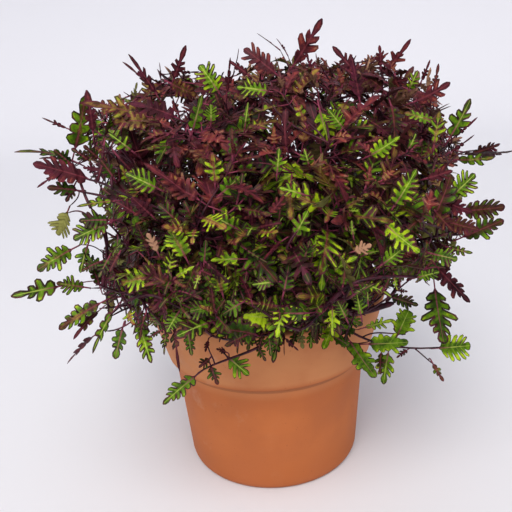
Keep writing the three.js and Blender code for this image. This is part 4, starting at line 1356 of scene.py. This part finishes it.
CLUB = (-0.05, 0.09)  # how far a finger's near and far corners stand out past its sides, in pitches
FAN = 0.5  # how much more the last finger slants than the first
UNEVEN, SWAY = (0.64, 1.16), 0.1  # the fingers' lengths beside an even arch, and the spread of their slants
NECK = 0.82  # the width before the end finger, as a share of the notch's
END_FINGER = (0.96, 0.78, 0.2)  # widths down the end finger, as shares of its own
BASE_WIDTH = 0.16  # where the blade starts, as a share of half its width
BASE_FINGER = (0.58, 0.92)  # how far the near side and the end of the lowest finger reach, beside the others
SET_FULLER = 0.04  # leaves that are set one by one are a little less deeply cut
SET_FOLD, FREE_FOLD = (0.02, 0.3), (0.08, 0.62)
SET_BEND, FREE_BEND, LEAST_BEND = (0.34, 0.2), (0.7, 0.45), 0.05
STAGGER, FINGER_WAVE, TWIST, SWEEP_ASIDE = 0.025, 0.1, 0.4, 0.06
CORNER_FIELDS = ("near_far_end", "rib_notch_along", "wine_tone_margin")  # kept at each corner of a face


def leaf_rows(cut):
    """Share along the midrib, finger and reach of every row, and the pairs of rows whose edges bound each
    strip: a finger's near side, far side and end, and the line from its notch to the next."""
    fingers, outer, end = cut[:3]
    per = len(outer) + 1
    offsets, reaches = np.array([(0.0, 0.0), *outer]).T
    along = BLADE_START + (np.arange(fingers)[:, None] + offsets) * (end - BLADE_START) / fingers
    shares = np.concatenate([[0, STALK_END], along.ravel(), end + (1 - end) * np.array([0, 0.35, 0.74, 1])])
    owners = np.concatenate([[0, 0], np.repeat(np.arange(fingers), per), np.full(4, fingers - 1)])
    reaches = np.concatenate([[0, 0], np.tile(reaches, fingers), np.zeros(4)])
    strips = np.arange(len(shares) - 1)
    lines = np.stack([strips, strips + 1], -1)[:, None, :] + np.zeros((1, 4, 1), int)
    inside = (strips >= 2) & (strips < 2 + fingers * per)
    step = (strips - 2) % per
    notch = strips - step
    bend = notch + 1 + np.clip(step - 1, 0, max(per - 3, 0))
    bounds = [(notch, notch + 1), (notch + per - 1, notch + per), (bend, bend + 1), (notch, notch + per)]
    lines[inside] = np.stack([np.stack(pair, -1) for pair in bounds], 1)[inside]
    return shares, owners, reaches, lines, inside


def right_of(points, first, last):
    """How far points lie to the right of the line from first to last, in mm: the cross product over its
    length."""
    along, away = last - first, points - first
    return (along[..., 1] * away[..., 0] - along[..., 0] * away[..., 1]) / np.linalg.norm(along, axis=-1)


def leaf_widths(cut, owners, reaches, half, still):
    """The half width of every row: fingers follow an arch along the blade, and notches keep a share of it."""
    count = len(half)
    notch = chance.uniform(*cut.notch, (count, 1)) + SET_FULLER * still
    arch = np.sin(math.pi * (0.24 + 0.53 * owners / (cut.fingers - 1))) ** 0.75
    uneven = chance.uniform(*UNEVEN, (count, cut.fingers))[:, owners]
    whole = half * arch * np.where(reaches > 0, uneven, notch)
    width = whole * np.where(reaches > 0, reaches, 1)
    width[:, 2:3] = half * BASE_WIDTH
    width[:, 3:5] *= BASE_FINGER
    width[:, :2] = STALK_RADIUS
    last = half * chance.uniform(*cut.end_width, (count, 1))
    width[:, -4:] = np.concatenate([whole[:, -1:] * NECK, last * END_FINGER], 1)
    return width


def flat_leaves(cut, picked, shares, owners, reaches):
    """The leaves laid flat: how far along every row's rib and edge lie, in mm, and the row's half width."""
    size, half, still = (held[picked][:, None] for held in (leaf_size, leaf_half, is_set))
    width = leaf_widths(cut, owners, reaches, half, still)
    lean = np.concatenate([[0, 0], np.ones(len(shares) - 5), [0.8, 0.4, 0]])
    slant = chance.uniform(*cut.slant, (len(size), 1)) + FAN * (owners / owners.max() - 0.5)
    slant = slant + chance.normal(0, SWAY, (len(size), cut.fingers))[:, owners] * np.where(still, 0.4, 1)
    outward = reaches > 0
    club = CLUB[0] * (outward & ~np.roll(outward, 1)) + CLUB[1] * (outward & ~np.roll(outward, -1))
    pitch = (cut.end - BLADE_START) / cut.fingers
    x_rib = shares * size
    return x_rib, x_rib + slant * width * lean + club * pitch * size, width


def raised_leaves(x_rib, x_edge, width, picked, shares, owners, outward):
    """Every row's left edge, upper rib, right edge and lower rib, as x, y and z in mm. Each leaf is
    folded up along its rib, each finger waves up or down, and one side runs a little ahead of the other."""
    size, still = leaf_size[picked][:, None], is_set[picked][:, None]
    count = len(size)
    stagger = chance.uniform(-STAGGER, STAGGER, (count, 1)) * size * outward
    fold = np.where(still, chance.uniform(*SET_FOLD, (count, 1)), chance.uniform(*FREE_FOLD, (count, 1)))
    wave = chance.normal(0, FINGER_WAVE, (2, count, owners.max() + 1))[:, :, owners] * outward
    on_stalk = np.arange(len(shares)) < 2
    thick = np.where(on_stalk, STALK_RADIUS, RIB_RISE)
    deep = np.where(on_stalk, STALK_RADIUS, RIB_DEPTH * (1 - 0.6 * shares))
    thick[-1] = deep[-1] = TIP_THICKNESS
    left, right = width * (fold + wave[0]), width * (fold + wave[1])
    x = np.stack([x_edge + stagger, x_rib, x_edge - stagger, x_rib], -1)
    y = np.stack([width, 0 * width, -width, 0 * width], -1)
    z = np.stack([left, thick + 0 * width, right, -deep + 0 * width], -1)
    return x, y, z


def curled_leaves(x, y, z, picked):
    """The same points, twisted, swept aside and bent along the blade, then turned to each leaf's own
    place."""
    long, still = leaf_size[picked][:, None, None], is_set[picked][:, None, None]
    ahead, each = x / long, (len(picked), 1, 1)
    twist = chance.normal(0, TWIST, each) * np.where(still, 0.5, 1) * ahead
    y, z = y * np.cos(twist) - z * np.sin(twist), y * np.sin(twist) + z * np.cos(twist)
    y = y + chance.normal(0, SWEEP_ASIDE, each) * np.where(still, 0.4, 1) * ahead**2 * long
    bend = np.where(still, chance.normal(*SET_BEND, each), chance.normal(*FREE_BEND, each))
    bend = np.where(np.abs(bend) < LEAST_BEND, LEAST_BEND, bend)
    angle = bend * ahead
    out = (long / bend + z) * np.sin(angle)
    rise = z * np.cos(angle) - long / bend * (1 - np.cos(angle))
    foot, toward, upper = (held[picked][:, None, None] for held in (leaf_foot, leaf_toward, leaf_upper))
    points = foot + out[..., None] * toward + rise[..., None] * upper
    return points + y[..., None] * np.cross(upper, toward)


def edge_distances(x_rib, x_edge, width, lines, inside):
    """How far in from each of its four lines the rib and the edge lie, at both ends of every strip."""
    flat = np.stack([np.stack([x_rib, 0 * x_rib], -1), np.stack([x_edge, width], -1)], 2)
    ends = flat[:, np.arange(len(lines))[:, None] + [0, 1]]
    first, last = flat[:, lines[..., 0], 1], flat[:, lines[..., 1], 1]
    room = right_of(ends[:, :, :, :, None], first[:, :, None, None], last[:, :, None, None])
    room[:, ~inside, :, :, 1] = room[:, ~inside, :, :, 0] + EDGE_FREE
    return room


def corner_vectors(room, width, shares, picked):
    """The three vectors of each corner of a face: how far it lies from a finger's near side, far side and
    end; from the rib and the notches, with its share along; and wine, tone and margin, negative on the
    underside."""
    count, rows = width.shape
    strip, column = np.repeat(np.arange(rows - 1), 4), np.tile(np.arange(4), rows - 1)
    corner_row = np.array([0, 0, 1, 1])
    on_edge = ((column[:, None] + np.array([0, 1, 1, 0])) % 2 == 0).astype(int)
    corners = room[:, strip[:, None], corner_row, on_edge]
    row = strip[:, None] + corner_row
    off_rib = width[:, row] * on_edge
    along = shares[row] + 0 * off_rib
    caps = np.zeros((count, 2, 4))
    near_far_end = np.concatenate([corners[..., :3], np.zeros((count, 2, 4, 3))], 1)
    rib_notch_along = np.stack([np.concatenate([v, caps], 1) for v in (off_rib, corners[..., 3], along)], -1)
    side = np.concatenate([np.where(column >= 2, -1.0, 1.0), [-1, 1]])[:, None] + 0 * near_far_end[..., 0]
    wine, tone, margin = (held[picked][:, None, None] for held in (leaf_wine, leaf_tone, leaf_margin))
    return near_far_end, rib_notch_along, np.stack([wine + 0 * side, tone + 0 * side, margin * side], -1)


def grow_leaves(cut, picked):
    """All leaves of a form: points (leaf, row and column), faces, and three vectors for each corner of a
    face."""
    shares, owners, reaches, lines, inside = leaf_rows(cut)
    flat = flat_leaves(cut, picked, shares, owners, reaches)
    points = curled_leaves(*raised_leaves(*flat, picked, shares, owners, reaches > 0), picked)
    vectors = corner_vectors(edge_distances(*flat, lines, inside), flat[-1], shares, picked)
    return points.reshape(len(picked), -1, 3), ring_faces(len(shares), 4), *vectors


face_counts = [len(ring_faces(len(leaf_rows(cut)[0]), 4)) for cut in LEAF_FORMS]
print("faces of one leaf of each form:", face_counts)

# %% [markdown]
# ## The leaf's finish
#
# A coleus leaf is a soft, matte blade: lime to grass green or wine, with a margin of dark maroon round
# every finger, a rib that is often purple, and a paler, rosy underside. The distances stored on each
# face corner say how far a point lies from the edge, so the margin is one even width on a leaf,
# whatever its shape. Painting the margin as a texture would need a picture for every shape.

# %% Leaf material
LIME, GRASS, DEEP_GREEN, SHADE_GREEN = "#A8C21A", "#5A7E0A", "#2E4806", "#12180A"
WINE_RED, WINE_BROWN, WINE_DARK, SHADE_WINE = "#84362F", "#B07E64", "#481A22", "#190910"
MARGIN, MARGIN_PURPLE = "#280C16", "#541A30"
OLIVE_BROWN, OLIVE_SHADE = "#9A8830", "#3E2C0E"
RIB_PURPLE, RIB_PALE, RIB_WINE = "#863A50", "#A8B850", "#70303A"
UNDER_ROSE, UNDER_OLIVE, UNDER_PAINTED_SHADE = "#B08468", "#8F8E4E", "#3A181A"
CENTRE_REACH = 9.0  # how far from the rib, in mm, the wine of a half-wine leaf would reach at a share of one
# The first colour of each ramp, and the darkest underside, are painted shade for leaves deep in the crown.
GREENS = (SHADE_GREEN, (DEEP_GREEN, PAINTED_SHADE_TONE, 0.05), (GRASS, 0.0, 0.5), (LIME, 0.5, 1.0))
WINES = (SHADE_WINE, (WINE_DARK, PAINTED_SHADE_TONE, 0.05), (WINE_RED, 0.15, 0.75), (WINE_BROWN, 0.75, 1.15))
OLIVES = (OLIVE_SHADE, (OLIVE_BROWN, 0.1, 0.8))


def leaf_fields(tree):
    """The nine fields kept at the corners: near, far, end, off the rib, notch, along, wine, tone and
    margin."""
    vectors = [put(tree, "Attribute", attribute_name=name, out="Vector") for name in CORNER_FIELDS]
    return [field for vector in vectors for field in put(tree, "SeparateXYZ", [vector]).node.outputs]


def wine_share_of(tree, off_rib, wine):
    """How far wine covers the green: all of it on a wine leaf, and a centre along the rib on a half-wine
    one."""
    reach = put(tree, "Math", [wine, CENTRE_REACH], operation="MULTIPLY")
    past = put(tree, "Math", [off_rib, reach], operation="SUBTRACT")
    ragged = share_of(tree, (grain(tree, 4.0, detail=2), 0.25, 0.75, -1.2, 1.2))
    past = put(tree, "Math", [past, ragged], operation="ADD")
    centre = share_of(tree, (past, -1.0, 0.7, 1.0, 0.0), (wine, 0.05, 0.12))
    return put(tree, "Math", [centre, share_of(tree, (wine, 0.5, 0.7))], operation="MAXIMUM")


def leaf_top(tree, off_rib, along, wine, tone, room, margin, vein):
    """The upper side: mottled green or wine, then its rib, its veins and its margin."""
    mottles = share_of(tree, (grain(tree, 6.0, detail=5, roughness=0.7), 0.3, 0.7, -0.32, 0.32))
    mottled = put(tree, "Math", [tone, mottles], operation="ADD")
    by_rib = share_of(tree, (off_rib, 1.0, 7.0, -0.3, 0.25))
    mottled = put(tree, "Math", [mottled, by_rib], operation="ADD")
    turning = (wine, 0.64, 0.76, 1.0, 0.0)
    olives = ramp(tree, mottled, *OLIVES)
    wines = tint(tree, ramp(tree, mottled, *WINES), olives, turning, (room, 0.4, 1.4), 0.8)
    wine_share = wine_share_of(tree, off_rib, wine)
    face = tint(tree, ramp(tree, mottled, *GREENS), wines, wine_share)
    # lit is nought in painted shade, where the rib colour and the purple margin fade out.
    lit = share_of(tree, (tone, PAINTED_SHADE_TONE, 0.2))
    pale = share_of(tree, (tone, 0.4, 0.6), (along, 0.3, 0.6), (wine, 0.25, 0.1))
    rib_colour = tint(tree, paint(RIB_PURPLE), paint(RIB_PALE), pale)
    rib_colour = tint(tree, rib_colour, paint(RIB_WINE), wine_share)
    rib_width = share_of(tree, (along, 0.2, 0.95, 0.8, 0.25))
    across_rib = put(tree, "Math", [off_rib, rib_width], operation="DIVIDE")
    face = tint(tree, face, rib_colour, (across_rib, 0.4, 1.0, 0.75, 0.0), lit)
    face = tint(tree, face, paint(RIB_PALE), vein, pale, 0.25)
    face = tint(tree, face, paint(UNDER_ROSE), vein, wine_share, (mottled, 0.3, 0.9, 0.0, 0.5))
    purple = (grain(tree, 9.0, detail=2), 0.45, 0.65)
    margin_colour = tint(tree, paint(MARGIN), paint(MARGIN_PURPLE), purple, lit)
    return tint(tree, face, margin_colour, margin, (wine_share, 0.0, 1.0, 0.95, 0.6))


def leaf_back(tree, wine, tone, margin):
    """The underside: paler olive or rose with a faint margin, darker as the tone falls, down to painted
    shade deep in the crown.
    """
    back = tint(tree, paint(UNDER_OLIVE), paint(UNDER_ROSE), (wine, 0.2, 0.6))
    back = tint(tree, back, paint(MARGIN), margin, 0.5)
    return tint(tree, paint(UNDER_PAINTED_SHADE), back, (tone, 0.15, 0.75))


def make_leaf_finish():
    """Living leaf. A soft waxy skin, half matte, over cells that the margin and the rib colour through."""
    material, tree = new_material("coleus_leaf_blade")
    near, far, end, off_rib, notch, along, wine, tone, width = leaf_fields(tree)
    room = put(tree, "Math", [near, far], operation="MINIMUM")
    room = put(tree, "Math", [room, notch], operation="MAXIMUM")
    room = put(tree, "Math", [room, end], operation="MINIMUM")
    ragged = share_of(tree, (grain(tree, 3.0, detail=2), 0.25, 0.75, 0.5, -0.35))
    room = put(tree, "Math", [room, ragged], operation="ADD")
    full_width = put(tree, "Math", [width], operation="ABSOLUTE")
    in_widths = put(tree, "Math", [room, full_width], operation="DIVIDE")
    margin = share_of(tree, (in_widths, 0.6, 1.15, 1.0, 0.0))
    off_vein = put(tree, "Math", [put(tree, "Math", [near, far], operation="SUBTRACT")], operation="ABSOLUTE")
    vein = share_of(tree, (off_vein, 0.15, 0.6, 1.0, 0.0))
    under = put(tree, "Math", [width, 0.0], operation="LESS_THAN")
    top = leaf_top(tree, off_rib, along, wine, tone, room, margin, vein)
    colour = tint(tree, top, leaf_back(tree, wine, tone, margin), under)
    colour = tint(tree, colour, paint(RIB_PURPLE), (along, STALK_END, STALK_END + 0.05, 1.0, 0.0), 0.85)
    sunken = share_of(tree, vein, 0.6)
    relief = put(tree, "Math", [grain(tree, 1.6, detail=3), sunken], operation="SUBTRACT")
    inputs = {"Base Color": colour, "Roughness": 0.5, "Specular IOR Level": 0.12}
    finish_with(tree, inputs, relief, strength=0.4, depth=0.35)
    return material


leaf_finish = make_leaf_finish()
print("finish:", leaf_finish.name)

# %% Leaves, one piece for each stem or shoot
grown = []
for number, cut in enumerate(LEAF_FORMS):
    picked = np.flatnonzero(leaf_form == number)
    grown.append((picked, *grow_leaves(cut, picked)))


def edges_of_leaves(ends):
    """Edges that join two edge points: those stand in every even column of four."""
    return (ends % 2 == 0).all(1)


def leaves_of(node):
    """One piece with all the leaves that grow on a node."""
    points, faces, corner_sets, first = [], [], [[], [], []], 0
    for picked, places, shape, *corners in grown:
        mine = leaf_node[picked] == node
        count = int(mine.sum())
        points.append(places[mine].reshape(-1, 3))
        faces.append(copies_of(shape, places.shape[1], count) + first)
        first += count * places.shape[1]
        for held, values in zip(corner_sets, corners):
            held.append(values[mine].reshape(-1, 3))
    values = {label: np.concatenate(held) for label, held in zip(CORNER_FIELDS, corner_sets)}
    points, faces, name = np.concatenate(points), np.concatenate(faces), f"{node_names[node]}_leaves"
    piece = piece_of(name, points, faces, [leaf_finish], values, edges_of_leaves)
    claim(piece, "leaf", node_names[node])
    return piece


leaf_pieces = [leaves_of(node) for node in range(len(node_names)) if (leaf_node == node).any()]
print("leaf pieces:", len(leaf_pieces), "with", sum(len(p.data.polygons) for p in leaf_pieces), "faces")

# %% [markdown]
# ## The stems
#
# Coleus belongs to the mint family, and its stems are square with rounded corners, juicy, purple and a
# little swollen where leaves join. A curve with a bevel would make them round. Here a rounded square is
# carried along each curve, narrowing to the tip, and two directions square to the curve keep it from
# twisting.

# %% Stem form
STEM_SIDES, TWIG_SIDES = 8, 6
STEM_STEPS, TWIG_STEPS = 22, 9
SHOOT_FOOT_RADIUS, SHOOT_TIP_RADIUS = 1.6, 0.6
TWIG_RADII, STALK_RADII = (0.8, 0.45), (0.45, 0.4)
SQUARE_CORNER = 0.1
BLUNT_END = 0.5
STEM_DARK, STEM_PURPLE, STEM_BLUSH = "#1E0810", "#4A182A", "#8A444E"


def tubes(controls, radii, steps, sides):
    """Rings round each curve: radius times one plus a tenth of cos 4a, on two directions square to the
    curve."""
    share = np.linspace(0, 1, steps + 1)
    middle, forward = curve(controls, share), heading(controls, share)
    chord = controls[:, 3] - controls[:, 0]
    level = np.stack([-chord[:, 1], chord[:, 0], 0.05 * np.abs(chord[:, 2])], -1)[:, None, :]
    across = square_to(forward, level + 0 * forward)
    over = np.cross(forward, across)
    angle = np.arange(sides) * 2 * math.pi / sides
    radius = radii[:, :1] + (radii[:, 1:] - radii[:, :1]) * share
    radius[:, -1] *= BLUNT_END
    radius = radius[..., None] * (1 + SQUARE_CORNER * np.cos(4 * angle))
    u, v = (radius * np.cos(angle))[..., None], (radius * np.sin(angle))[..., None]
    ring = u * across[:, :, None] + v * over[:, :, None]
    return (middle[:, :, None] + ring).reshape(len(controls), -1, 3)


def make_stem_skin():
    """Juicy square stem: purple with lighter streaks along it and a satin skin."""
    material, tree = new_material("purple_coleus_stem")
    streaks = (grain(tree, 4.0, detail=3), 0.32, 0.68)
    colour = tint(tree, paint(STEM_DARK), paint(STEM_PURPLE), streaks)
    colour = tint(tree, colour, paint(STEM_BLUSH), (grain(tree, 22.0, detail=2), 0.52, 0.74, 0.0, 0.4))
    inputs = {"Base Color": colour, "Roughness": 0.5, "Specular IOR Level": 0.25}
    finish_with(tree, inputs, grain(tree, 1.2, detail=3), strength=0.3, depth=0.3)
    return material


stem_skin = make_stem_skin()
is_stem = np.array([name.startswith("main") for name in node_names])
branch_foot = np.where(is_stem, STEM_FOOT_RADIUS - 0.4, SHOOT_FOOT_RADIUS - 0.3)
branch_radii = np.stack([branch_foot, 0 * branch_foot + SHOOT_TIP_RADIUS], -1)
branch_tubes = tubes(node_curves, branch_radii, STEM_STEPS, STEM_SIDES)
twig_curves = np.concatenate([outer_twigs, inner_twigs, set_twigs, links, stalks])
twig_nodes = np.concatenate([outer_nodes, inner_nodes, set_nodes, host_nodes, set_leaf_nodes])
plain_radii = np.tile(TWIG_RADII, (len(outer_twigs) + len(inner_twigs), 1))
link_radii = set_radii[hosts][:, [0, 0]]
twig_radii = np.concatenate([plain_radii, set_radii, link_radii, np.tile(STALK_RADII, (len(stalks), 1))])
twig_tubes = tubes(twig_curves, twig_radii, TWIG_STEPS, TWIG_SIDES)


def stem_of(node):
    """One piece with a node's own stem and the twigs that fork from it."""
    mine = twig_tubes[twig_nodes == node]
    main_faces = ring_faces(STEM_STEPS + 1, STEM_SIDES)
    twig_faces = copies_of(ring_faces(TWIG_STEPS + 1, TWIG_SIDES), twig_tubes.shape[1], len(mine))
    points = np.concatenate([branch_tubes[node], mine.reshape(-1, 3)])
    faces = np.concatenate([main_faces, twig_faces + branch_tubes.shape[1]])
    piece = piece_of(f"{node_names[node]}_stalk", points, faces, [stem_skin])
    claim(piece, "stem", node_names[node])
    return piece


stem_pieces = [stem_of(node) for node in range(len(node_names))]
print("stem pieces:", len(stem_pieces), "with", sum(len(p.data.polygons) for p in stem_pieces), "faces")
